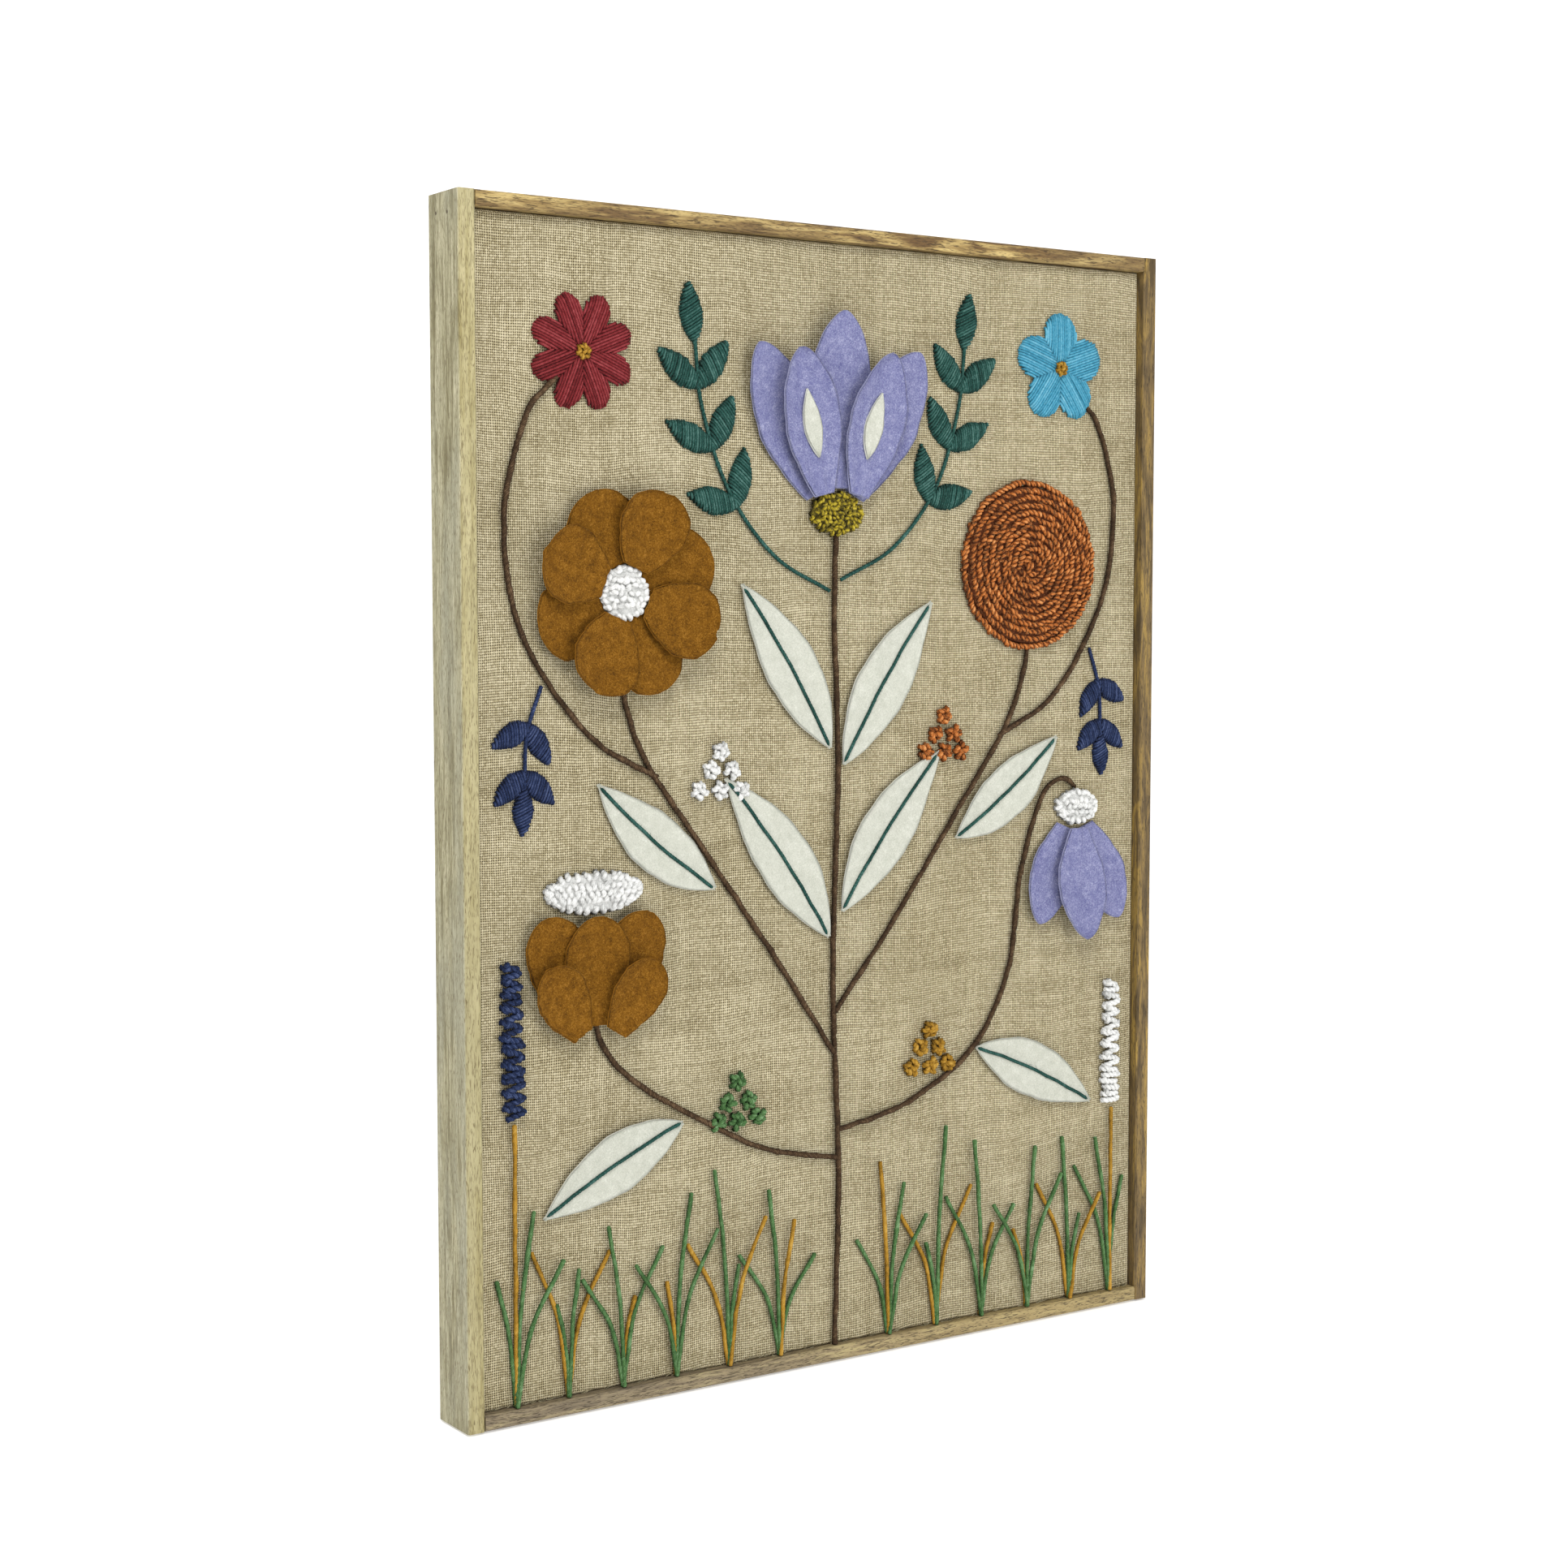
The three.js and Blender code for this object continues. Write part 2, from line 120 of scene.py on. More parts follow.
class Finish:
    def __init__(self, name):
        self.material = bpy.data.materials.new(name)
        self.material.use_nodes = True
        self.tree = self.material.node_tree
        self.shader = self.tree.nodes["Principled BSDF"]

    def node(self, kind, settings, spots, out=0):
        made = self.tree.nodes.new("ShaderNode" + kind)
        for key, value in settings.items():
            setattr(made, key, value)
        for spot, value in spots.items():
            self.feed(made.inputs[spot], value)
        return Link(self, made.outputs[out])

    def feed(self, socket, value):
        if isinstance(value, Link):
            self.tree.links.new(value.socket, socket)
        elif socket.type == "RGBA":
            socket.default_value = rgba(value)
        else:
            socket.default_value = value

    def set(self, **spots):
        for name, value in spots.items():
            self.feed(self.shader.inputs[name.replace("_", " ")], value)
        return self.material

    def where(self):  # place in the frame, in metres
        return self.node("TexCoord", {}, {}, out="Object")

    def axes(self, vector):
        split = self.node("SeparateXYZ", {}, {0: vector})
        return [Link(self, socket) for socket in split.socket.node.outputs]

    def stretch(self, vector, scales):
        return self.node("VectorMath", {"operation": "MULTIPLY"}, {0: vector, 1: scales})

    def shift(self, vector, other):
        return self.node("VectorMath", {"operation": "ADD"}, {0: vector, 1: other})

    def join(self, x, y, z):
        return self.node("CombineXYZ", {}, {0: x, 1: y, 2: z})

    def noise(self, vector, scale, detail=2, rough=0.5, twist=0.0):
        spots = {"Vector": vector, "Scale": scale, "Detail": detail, "Roughness": rough, "Distortion": twist}
        return self.node("TexNoise", {}, spots)

    def chanceOf(self, dimensions, spots):  # one random value for each thread or crossing
        return self.node("TexWhiteNoise", {"noise_dimensions": dimensions}, spots, out="Value")

    def mark(self, name):
        return self.node("Attribute", {"attribute_name": name}, {}, out="Fac")

    def mix(self, share, first, second):
        settings = {"data_type": "RGBA", "blend_type": "MIX", "clamp_factor": True}
        return self.node("Mix", settings, {0: share, 6: first, 7: second}, out=2)

    def ramp(self, share, *stops):
        made = self.node("ValToRGB", {}, {0: share})
        ramp = made.socket.node.color_ramp
        while len(ramp.elements) < len(stops):
            ramp.elements.new(0.5)
        for element, (where, colour) in zip(ramp.elements, stops):
            element.position = where
            element.color = rgba(paint(colour))
        return made

    def bump(self, height, distance, strength):
        return self.node("Bump", {}, {"Height": height, "Distance": distance, "Strength": strength})


def rgba(colour):
    return tuple(colour)[:3] + (1.0,)


def paint(code):  # a hex colour to linear light
    parts = [int(code[i:i + 2], 16) / 255 for i in (0, 2, 4)]
    return tuple(p / 12.92 if p <= 0.04045 else ((p + 0.055) / 1.055) ** 2.4 for p in parts)


# wood: long streaks along the board, dark dashes of open grain and slow changes of colour
woods = {
    "leftBoard": {
        "pale": "C9C2A0", "mid": "ABA481", "dark": "7C734D", "wave": 0.003, "figure": 0.3, "front": "A99B64",
        "patch": "A5A38C", "patchShare": 0.6, "dash": "6A5A34", "dashShare": 0.5, "pores": 0.75, "seed": 1.3,
    },
    "topBoard": {
        "pale": "C8AF72", "mid": "A0864F", "dark": "664B25", "wave": 0.007, "figure": 0.7,
        "patch": "7E6840", "patchShare": 0.5, "dash": "422F14", "dashShare": 0.85, "pores": 0.6, "seed": 4.1,
    },
    "rightBoard": {
        "pale": "A3853F", "mid": "796236", "dark": "4F3E1D", "wave": 0.009, "figure": 0.7,
        "patch": "655232", "patchShare": 0.5, "dash": "33260F", "dashShare": 0.75, "pores": 0.5, "seed": 7.7,
    },
    "bottomBoard": {
        "pale": "AFA076", "mid": "908062", "dark": "625540", "wave": 0.009, "figure": 0.5, "far": "B39C5E",
        "patch": "776B57", "patchShare": 0.5, "dash": "3E3220", "dashShare": 0.8, "pores": 0.7, "seed": 9.2,
    },
    "stretcherBar": {
        "pale": "DCC394", "mid": "CBAC78", "dark": "A98A59", "wave": 0.004, "figure": 0.3,
        "patch": "C3A16C", "patchShare": 0.4, "dash": "8A6B40", "dashShare": 0.35, "pores": 0.3, "seed": 5.5,
    },
}
farEnds = (-0.16, 0.22)         # where the bottom board turns paler, m
frontEdge = (-0.0428, -0.0418)  # the left board's front strip begins here
nailHoles = [(-0.3, -0.0115, -0.0075), (-0.3, -0.0275, -0.0085)]


def woodFinish(name, wood, along, nails=()):
    f = Finish(name)
    spot = f.where()
    seed = wood["seed"]

    def run(lengthwise, crosswise):  # scales that draw a pattern out along the board
        return [lengthwise if axis == along else crosswise for axis in range(3)]

    bend = (f.noise(f.shift(spot, (seed,) * 3), 13.0, 3) - 0.5) * wood["wave"]
    sway = f.join(*[0.0 if axis == along else bend for axis in range(3)])
    seeded = f.shift(f.shift(spot, sway), (seed * 1.7, seed, seed * 0.6))

    def grainNoise(lengthwise, crosswise, *shape):
        return f.noise(f.stretch(seeded, run(lengthwise, crosswise)), 1.0, *shape)

    broad = grainNoise(4, 95, 3, 0.6, 0.4)
    streak = grainNoise(22, 420, 4, 0.65)
    dash = grainNoise(110, 1300, 2, 0.6, 0.4).over(0.54, 0.66)
    pore = grainNoise(240, 2000, 1, 0.4).over(0.62, 0.67)
    rings = (grainNoise(7, 60, 2, 0.5, 0.5) * 40).sine()
    grain = (broad - 0.5) * 1.3 + (streak - 0.5) * 1.7 + rings * 0.3 * wood["figure"] + 0.5
    base = f.ramp(grain, (0.15, wood["dark"]), (0.5, wood["mid"]), (0.85, wood["pale"]))
    patch = grainNoise(6, 30, 3, 0.6)
    base = f.mix(patch.over(0.42, 0.66) * wood["patchShare"], base, paint(wood["patch"]))
    if "far" in wood:
        base = f.mix(f.axes(spot)[0].over(*farEnds) * 0.5, base, paint(wood["far"]))
    if "front" in wood:
        front = 1 - f.axes(spot)[1].over(*frontEdge)
        base = f.mix(front * 0.55, base, paint(wood["front"]))
    base = f.mix(dash * wood["dashShare"], base, paint(wood["dash"]))
    base = f.mix(pore * wood["pores"], base, paint(wood["dash"]))
    height = streak * 0.8 - dash * 0.8 - pore * 0.4
    for nail in nails:  # filled nail holes
        away = f.node("VectorMath", {"operation": "DISTANCE"}, {0: spot, 1: nail}, out="Value")
        hole = 1 - away.over(0.0007, 0.0014)
        base = f.mix(hole * 0.85, base, paint("4A3B22"))
        height = height - hole * 4
    rough = 0.66 + (streak - 0.5) * 0.3
    return f.set(Base_Color=base, Roughness=rough, Normal=f.bump(height, 0.0004, 0.7))


def dressNode(node, material):
    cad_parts[node].material_slots[0].material = material


boards = {"frame_left": ("leftBoard", 2), "frame_top": ("topBoard", 0),
          "frame_right": ("rightBoard", 2), "frame_bottom": ("bottomBoard", 0)}
for node, (wood, along) in boards.items():
    dressNode(node, woodFinish(wood, woods[wood], along, nailHoles if node == "frame_left" else ()))
bars = {"stretcher_left": 2, "stretcher_right": 2, "stretcher_top": 0, "stretcher_bottom": 0}
for node, along in bars.items():
    dressNode(node, woodFinish(node, woods["stretcherBar"], along))
print("wood done")

# jute: a plain weave with small open gaps, uneven threads and rows that wander a little; painted shade
# darkens the gaps and the low parts of the threads
jute = {
    "pitchAcross": 0.00165, "pitchUp": 0.0017, "wander": 6.0,
    "light": "D3C8A8", "thread": "A99D7B", "deep": "7D704E", "hole": "2B2112", "nub": "5E4B2E",
}


def threadShape(part, width):  # a thread's rounded section inside its cell
    away = (part * 2 - 1).size() / width
    return (1 - away * away).most(0.0) ** 0.5


def juteFinish():
    f = Finish("jute")
    spot = f.where()
    x, y, z = f.axes(spot)
    wanderUp = f.noise(f.stretch(spot, (9, 9, 9)), 1.0, 3) - 0.5
    wanderAcross = f.noise(f.stretch(spot, (11, 11, 7)), 1.3, 3) - 0.5
    across = (x + y) / jute["pitchAcross"] + wanderAcross * jute["wander"]
    up = (z + y) / jute["pitchUp"] + wanderUp * jute["wander"] * 1.6
    acrossCell = across.floor()
    upCell = up.floor()
    warpTint = f.chanceOf("1D", {"W": acrossCell})
    weftTint = f.chanceOf("1D", {"W": upCell + 917})
    knotTint = f.chanceOf("2D", {"Vector": f.join(acrossCell, upCell, 0.0)})
    slub = f.noise(f.join(across * 0.045, 0.0, up * 0.9), 1.0).over(0.6, 0.8)
    slubUp = f.noise(f.join(across * 0.9, 5.0, up * 0.045), 1.0).over(0.64, 0.82)
    warpPart = across.fraction()
    weftPart = up.fraction()
    warp = threadShape(warpPart, 0.64 + warpTint * 0.1 + slubUp * 0.14 + (knotTint - 0.5) * 0.14)
    weft = threadShape(weftPart, 0.68 + weftTint * 0.1 + slub * 0.14 - (knotTint - 0.5) * 0.14)
    warpArch = (weftPart * pi).sine()
    weftArch = (warpPart * pi).sine()
    onTop = (acrossCell + upCell) % 2
    warpHeight = warp * (0.56 + (0.18 + 0.26 * warpArch) * onTop)
    weftHeight = weft * (0.56 + (0.18 + 0.26 * weftArch) * (1 - onTop))
    height = warpHeight.most(weftHeight)
    fibre = f.noise(spot, 2600, 2, 0.6)
    mottle = f.noise(spot, 22, 3, 0.6)
    speck = f.noise(spot, 420, 2, 0.55)
    tint = warpTint * onTop + weftTint * (1 - onTop)
    tone = (tint - 0.5) * 0.18 + (knotTint - 0.5) * 0.34 + (mottle - 0.5) * 0.5
    # painted shade: the lower parts of the threads are darker
    tone = tone + (fibre - 0.5) * 0.5 + (height - 0.7) * 0.8 + 0.6 + (slub + slubUp) * 0.16
    thread = f.ramp(tone, (0.1, jute["deep"]), (0.5, jute["thread"]), (0.95, jute["light"]))
    # painted shade: the open gaps and the threads' low flanks take the dark hole colour
    colour = f.mix(height.over(0.1, 0.5), paint(jute["hole"]), thread)
    colour = f.mix(speck.over(0.72, 0.8) * 0.6, colour, paint(jute["nub"]))
    bumped = f.bump(height + (fibre - 0.5) * 0.15, 0.0008, 0.9)
    return f.set(Base_Color=colour, Roughness=0.92, Normal=bumped, Specular_IOR_Level=0.25)


# felt: pressed fibres, finely mottled, with a soft sheen and a painted highlight on the cut rim
felts = {
    "creamFelt": {"base": "CBCCBF", "dark": "B6B8AA", "fleck": "DEDFD4", "fleckShare": 0.4,
                  "edge": "E2E3D9", "sheen": 0.05, "slot": "cream_felt"},
    "lilacFelt": {"base": "7F81A9", "dark": "5A5C8B", "fleck": "B0B2CE", "fleckShare": 0.75,
                  "edge": "B4B6D4", "sheen": 0.05, "slot": "lilac_felt"},
    "ochreFelt": {"base": "7C510F", "dark": "4A2F07", "fleck": "A3752C", "fleckShare": 0.6,
                  "edge": "A87120", "sheen": 0.0, "slot": "ochre_felt"},
}


def feltFinish(name, felt):
    f = Finish(name)
    spot = f.where()
    cloud = f.noise(spot, 160)
    mottle = f.noise(spot, 820, 3, 0.65, 0.8)
    wool = f.noise(spot, 1900, 2, 0.6, 1.0)
    strand = f.noise(spot, 430, 1, 0.4, 1.6)
    curl = f.noise(f.shift(spot, (3.1, 1.7, 0.4)), 560, 1, 0.4, 2.0)
    hair = (1 - (strand - 0.5).size().over(0.0, 0.022)).most(1 - (curl - 0.5).size().over(0.0, 0.018))
    hair = hair * mottle.over(0.42, 0.58)
    tone = (cloud - 0.5) * 0.7 + (mottle - 0.5) * 1.5 + (wool - 0.5) * 1.2 + 0.52
    colour = f.ramp(tone, (0.12, felt["dark"]), (0.62, felt["base"]), (1.0, felt["fleck"]))
    colour = f.mix(hair * felt["fleckShare"], colour, paint(felt["fleck"]))
    # painted highlight: the cut edge is paler, most on its upper rim
    colour = f.mix(f.mark("tint") * 0.6, colour, paint(felt["edge"]))  # the cut edge is paler
    height = cloud * 1.6 + mottle * 0.9 + wool * 0.5 + hair * 0.4
    return f.set(Base_Color=colour, Roughness=0.95, Normal=f.bump(height, 0.0009, 0.6),
                 Specular_IOR_Level=0.15, Sheen_Weight=felt["sheen"], Sheen_Roughness=0.6)


# yarn: strands that run round it, with painted shade in the creases and on the sides, and pale stray fibres
yarnKeys = ("base", "dark", "light", "stray", "shade", "sheen", "slot")
yarnRows = {
    "rustWool": ("C26E2F", "4A200A", "F8BF7E", 0.36, 0.92, 0.0, "rust_wool"),
    "mustardWool": ("B7A122", "302806", "EADA66", 0.32, 1.05, 0.05, "mustard_wool"),
    "goldWool": ("B5872B", "654810", "DAB45E", 0.3, 0.7, 0.0, "mustard_wool"),
    "whiteCotton": ("F0F0ED", "AFB0AD", "FEFEFC", 0.2, 0.6, 0.05, "white_cotton"),
    "brownWool": ("433120", "1A120B", "8A7054", 0.45, 0.6, 0.0, "brown_wool"),
    "greenWool": ("527A45", "22401D", "93B389", 0.4, 0.7, 0.0, "green_wool"),
    "tealWool": ("204E46", "07211B", "6C958C", 0.42, 0.75, 0.0, "teal_wool"),
    "navyWool": ("223054", "090E22", "5F6C92", 0.4, 0.75, 0.0, "navy_wool"),
    "redWool": ("782024", "33090B", "AE5356", 0.32, 0.8, 0.0, "red_wool"),
    "skyCotton": ("469DBC", "1F5F76", "96D2E2", 0.35, 0.7, 0.0, "sky_cotton"),
    "juteThread": ("C6BA94", "83754F", "E4DAB9", 0.3, 0.6, 0.0, "jute"),
}
yarns = {name: dict(zip(yarnKeys, row)) for name, row in yarnRows.items()}


def yarnFinish(name, yarn):
    f = Finish(name)
    spot = f.where()
    around, length = f.axes(f.node("UVMap", {"uv_map": "yarn"}, {}))[:2]
    tint = f.mark("tint")
    strands = ((around * 8 + length * 0.5) * 2 * pi).sine() * 0.5 + 0.5
    stray = f.noise(f.join(around * 9, length * 0.55, tint * 40), 1.0, 2, 0.6, 0.8)
    fuzz = f.noise(spot, 1500, 2, 0.6, 1.5)
    coarse = f.noise(spot, 330, 2, 0.6)
    tone = (tint - 0.5) * 0.5 + (strands - 0.5) * 0.2 + (coarse - 0.5) * 0.6 + (fuzz - 0.5) * 0.6 + 0.62
    # painted shade: this mark darkens ply creases, yarn sides and the cores between loops
    tone = tone - f.mark("crease") * yarn["shade"]
    colour = f.ramp(tone, (0.05, yarn["dark"]), (0.52, yarn["base"]), (1.0, yarn["light"]))
    colour = f.mix(stray.over(0.56, 0.72) * yarn["stray"], colour, paint(yarn["light"]))
    curl = f.noise(spot, 620, 1, 0.4, 1.8)
    hair = (1 - (curl - 0.5).size().over(0.0, 0.035)) * fuzz.over(0.4, 0.6)
    colour = f.mix(hair * 0.45, colour, paint(yarn["light"]))
    height = strands * 0.4 + fuzz * 0.8 + stray * 0.5 + hair * 0.6
    return f.set(Base_Color=colour, Roughness=0.88, Normal=f.bump(height, 0.0005, 0.7),
                 Specular_IOR_Level=0.2, Sheen_Weight=yarn["sheen"], Sheen_Roughness=0.5)


finishes = {name: feltFinish(name, felt) for name, felt in felts.items()}
finishes.update({name: yarnFinish(name, yarn) for name, yarn in yarns.items()})
finishes["jute"] = juteFinish()
slots = {name: row["slot"] for name, row in {**felts, **yarns}.items()}
slots["jute"] = "jute"
print("finishes done")

# the design's plane: u to the right, v up from the cloth's lower edge, height out of the cloth, in mm
clothFront = -36
clothFoot = -799.25


def toFrame(points):
    u, v, height = points.T
    return np.column_stack([u, clothFront - height, clothFoot + v]) * 0.001


def makePiece(name, points, quads, tris, finish, nodes=(), marks=None, corners=None):
    mesh = bpy.data.meshes.new(name)
    mesh.vertices.add(len(points))
    mesh.vertices.foreach_set("co", toFrame(points).astype(np.float32).ravel())
    quads = np.asarray(quads, np.int32).reshape(-1, 4)
    tris = np.asarray(tris, np.int32).reshape(-1, 3)
    mesh.loops.add(quads.size + tris.size)
    mesh.loops.foreach_set("vertex_index", np.concatenate([quads.ravel(), tris.ravel()]))
    mesh.polygons.add(len(quads) + len(tris))
    starts = np.concatenate([np.arange(len(quads)) * 4, quads.size + np.arange(len(tris)) * 3])
    mesh.polygons.foreach_set("loop_start", starts.astype(np.int32))
    mesh.update(calc_edges=True)
    mesh.polygons.foreach_set("use_smooth", np.ones(len(mesh.polygons), bool))
    for key, values in (marks or {}).items():
        layer = mesh.attributes.new(key, "FLOAT", "POINT")
        layer.data.foreach_set("value", np.asarray(values, np.float32))
    if corners is not None:
        layer = mesh.uv_layers.new(name="yarn")
        layer.data.foreach_set("uv", np.asarray(corners, np.float32).ravel())
    mesh.materials.append(finishes[finish])
    piece = bpy.data.objects.new(name, mesh)
    bpy.context.scene.collection.objects.link(piece)
    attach(piece, "root")
    if nodes:
        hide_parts(*nodes)
    return piece


def unit(vectors):
    return vectors / (np.linalg.norm(vectors, axis=1)[:, None] + 1e-9)


def polar(centre, reach, angle):
    return centre[0] + reach * np.cos(angle), centre[1] + reach * np.sin(angle)


def gridCells(rows, columns):  # point numbers of a grid's cells
    i, j = np.meshgrid(np.arange(rows), np.arange(columns), indexing="ij")
    a = i * (columns + 1) + j
    return np.stack([a, a + 1, a + columns + 2, a + columns + 1], -1).reshape(-1, 4)


def gridRim(rows, columns):  # point numbers round a grid's edge, along its first row first
    wide = columns + 1
    return np.concatenate([np.arange(columns), columns + wide * np.arange(rows),
                           wide * (rows + 1) - 1 - np.arange(columns), wide * (rows - np.arange(rows))])


def between(ring, following):  # faces that join one ring of points to the next
    return np.stack([ring, following, np.roll(following, -1), np.roll(ring, -1)], -1)


def softNoise(count, every, size):  # smooth wander along a path
    knots = chance.normal(0, 1, count // every + 4)
    return size * np.interp(np.arange(count) / every, np.arange(len(knots)), knots)


def headings(path, side):  # along a path, sideways and out of the cloth at each of its points
    along = unit(np.gradient(path, axis=0))
    if side is None:
        side = unit(np.column_stack([along[:, 1], -along[:, 0], np.zeros(len(path))]))
    else:
        side = np.broadcast_to(np.asarray(side, float), path.shape)
    out = unit(np.cross(along, side))
    return along, np.cross(out, along), out


# yarn laid along paths, joined into one mesh
class YarnMesh:
    def __init__(self, sides=10, lobe=0.36, pitch=9.0, flank=0.4, uneven=0.0):
        self.sides = sides
        # how strong the painted shade is on the yarn's sides, where it meets its neighbours
        self.flank = flank    # how dark the yarn's sides are, where it meets its neighbours
        self.uneven = uneven  # how much the twist speeds up and slows down
        self.lobe = lobe      # how deep the crease between the two plies is
        self.pitch = pitch    # length of one whole turn of the twist, mm
        self.points, self.quads, self.tris, self.quadCorners, self.triCorners = [], [], [], [], []
        self.tints, self.paintedShades = [], []
        self.count = 0
        self.lines = []

    def lay(self, path, radius, tint=0.5, side=None):
        path = np.asarray(path, float)
        rings, sides = len(path), self.sides
        along, side, out = headings(path, side)
        steps = np.linalg.norm(np.diff(path, axis=0), axis=1)
        length = np.concatenate([[0], np.cumsum(steps)])
        radius = np.broadcast_to(np.asarray(radius, float), (rings,))
        ring, crease = self.twist(length, radius, side, out)
        self.lines.append((path, along, side, out, radius))
        tips = [path[:1] - along[:1] * radius[0] * 0.5, path[-1:] + along[-1:] * radius[-1] * 0.5]
        self.points.append(np.vstack([(path[:, None, :] + ring).reshape(-1, 3)] + tips))
        tint = np.broadcast_to(np.asarray(tint, float), (rings,))
        self.tints.append(np.concatenate([np.repeat(tint, sides), [tint[0], tint[-1]]]))
        self.paintedShades.append(np.concatenate([crease.ravel(), [0.3, 0.3]]))
        self.skin(length)
        self.count += rings * sides + 2

    # gives the rings and the painted shade of each point
    def twist(self, length, radius, side, out):  # rings of two plies, and how dark each point is
        turn = 2 * pi * np.arange(self.sides) / self.sides
        valley = 1 - np.abs(np.cos(turn))
        slack = np.cumsum(softNoise(len(length), 5, self.uneven)) if self.uneven else 0
        angle = turn[None, :] + (length / self.pitch * 2 * pi + chance.uniform(0, 2 * pi) + slack)[:, None]
        reach = radius[:, None] * (1 - self.lobe * valley)[None, :]
        # painted shade: darker on the sides that turn away from the top, and in the valley between the two
        # plies
        flank = (1 - np.clip(np.sin(angle) * out[:, 2:3], 0, 1) ** 1.5) * self.flank
        crease = np.maximum(flank, valley[None, :] * self.lobe * 1.9)
        ring = side[:, None, :] * (np.cos(angle) * reach)[:, :, None]
        return ring + out[:, None, :] * (np.sin(angle) * reach)[:, :, None], crease

    def skin(self, length):  # faces between the rings and over the two ends
        rings, sides = len(length), self.sides
        row, column = np.meshgrid(np.arange(rings - 1), np.arange(sides), indexing="ij")
        a = self.count + row * sides + column
        b = self.count + row * sides + (column + 1) % sides
        self.quads.append(np.stack([a, b, b + sides, a + sides], -1).reshape(-1, 4))
        u0, u1 = column / sides, (column + 1) / sides
        v0, v1 = length[row], length[row + 1]
        self.quadCorners.append(np.stack([u0, v0, u1, v0, u1, v1, u0, v1], -1).reshape(-1, 4, 2))
        first = self.count + np.arange(sides)
        after = np.roll(first, -1)
        startTip = np.full(sides, self.count + rings * sides)
        last = (rings - 1) * sides
        self.tris.append(np.column_stack([startTip, after, first]))
        self.tris.append(np.column_stack([startTip + 1, first + last, after + last]))
        self.triCorners.append(np.zeros((2 * sides, 3, 2)))

    # painted shade: the form is darkened by its last value where it shows between the loops
    def add(self, points, quads, tint, crease):  # a plain closed form under the loops
        self.points.append(points)
        self.quads.append(quads + self.count)
        self.quadCorners.append(np.zeros((len(quads), 4, 2)))
        self.tints.append(np.full(len(points), tint))
        self.paintedShades.append(np.full(len(points), crease))
        self.count += len(points)

    def fray(self, fibres, every, reach):  # stray fibres that stand off the yarn
        for path, along, side, out, radius in self.lines:
            total = np.linalg.norm(np.diff(path, axis=0), axis=1).sum()
            for number in range(chance.poisson(total / every)):
                i = chance.integers(len(path) // 4, 3 * len(path) // 4 + 1)
                turn = chance.uniform(0.15, pi - 0.15)
                away = side[i] * cos(turn) + out[i] * sin(turn)
                foot = path[i] + away * radius[i] * 0.9
                size = reach * chance.uniform(0.5, 1.4)
                run = along[i] * chance.choice([-1, 1]) + away * chance.uniform(0.25, 0.9)
                bow = away * chance.uniform(-0.5, 0.25) + np.cross(along[i], away) * chance.normal(0, 0.35)
                t = np.linspace(0, 1, 4)[:, None]
                fibres.lay(foot + run * size * t + bow * size * t * t, fibreRadius, chance.uniform(0.7, 1.2))

    def make(self, name, finish, nodes=()):
        corners = [np.vstack(self.quadCorners).reshape(-1, 2), np.vstack(self.triCorners).reshape(-1, 2)]
        marks = {"tint": np.concatenate(self.tints), "crease": np.concatenate(self.paintedShades)}
        points, quads, tris = (np.vstack(rows) for rows in (self.points, self.quads, self.tris))
        return makePiece(name, points, quads, tris, finish, nodes, marks, np.concatenate(corners))


fibreRadius = 0.11


def makeFibres(name, finish, *frays):  # one mesh of stray fibres for (yarn, mm between them, their length)
    fibres = YarnMesh(sides=3, lobe=0, flank=0)
    for yarn, every, reach in frays:
        yarn.fray(fibres, every, reach)
    fibres.make(name, finish)


def smoothPath(corners, step):  # a smooth curve through design points, with even steps
    corners = np.asarray(corners, float)
    ends = np.vstack([2 * corners[0] - corners[1], corners, 2 * corners[-1] - corners[-2]])
    t = np.linspace(0, 1, 24, endpoint=False)[:, None]
    parts = []
    for i in range(len(corners) - 1):
        a, b, c, d = ends[i:i + 4]
        square, cube = 2 * a - 5 * b + 4 * c - d, 3 * b - a - 3 * c + d
        parts.append(0.5 * (2 * b + (c - a) * t + square * t**2 + cube * t**3))
    dense = np.vstack(parts + [corners[-1:]])
    length = np.concatenate([[0], np.cumsum(np.linalg.norm(np.diff(dense, axis=0), axis=1))])
    wanted = np.linspace(0, length[-1], max(4, int(length[-1] / step)))
    return np.column_stack([np.interp(wanted, length, dense[:, k]) for k in range(dense.shape[1])])


def strayPath(corners, step, every, sway):  # a smooth path that strays a little
    line = smoothPath(corners, step)
    return line + np.column_stack([softNoise(len(line), every, size) for size in sway])


def softTint(count, size):  # slow changes of shade along a yarn
    return 0.45 + softNoise(count, 6, size)


# ground cloth: one sheet wrapped round the stretcher, its hem turned on to the back
cloth = {
    "half": 287, "foot": 0.5, "head": 793.5, "thick": 1.2, "depth": 18, "hem": 20, "fold": 2, "cell": 8.5,
    "bars": ["stretcher_left", "stretcher_right", "stretcher_top", "stretcher_bottom"],
}


def clothEdge(u, v):  # distance to the cloth's nearest edge
    return np.minimum(cloth["half"] - np.abs(u), np.minimum(v - cloth["foot"], cloth["head"] - v))


def clothSag(u, v):  # the cloth gives a little between the bars, and never stands proud
    wave = np.sin(u * 0.043 + 1.1 * np.sin(v * 0.019)) + np.sin(v * 0.037 + 1.7 * np.sin(u * 0.023))
    wave = wave * 0.25 + 0.5
    return 0.22 * wave + 0.55 * wave * np.clip((clothEdge(u, v) - 34) / 60, 0, 1)


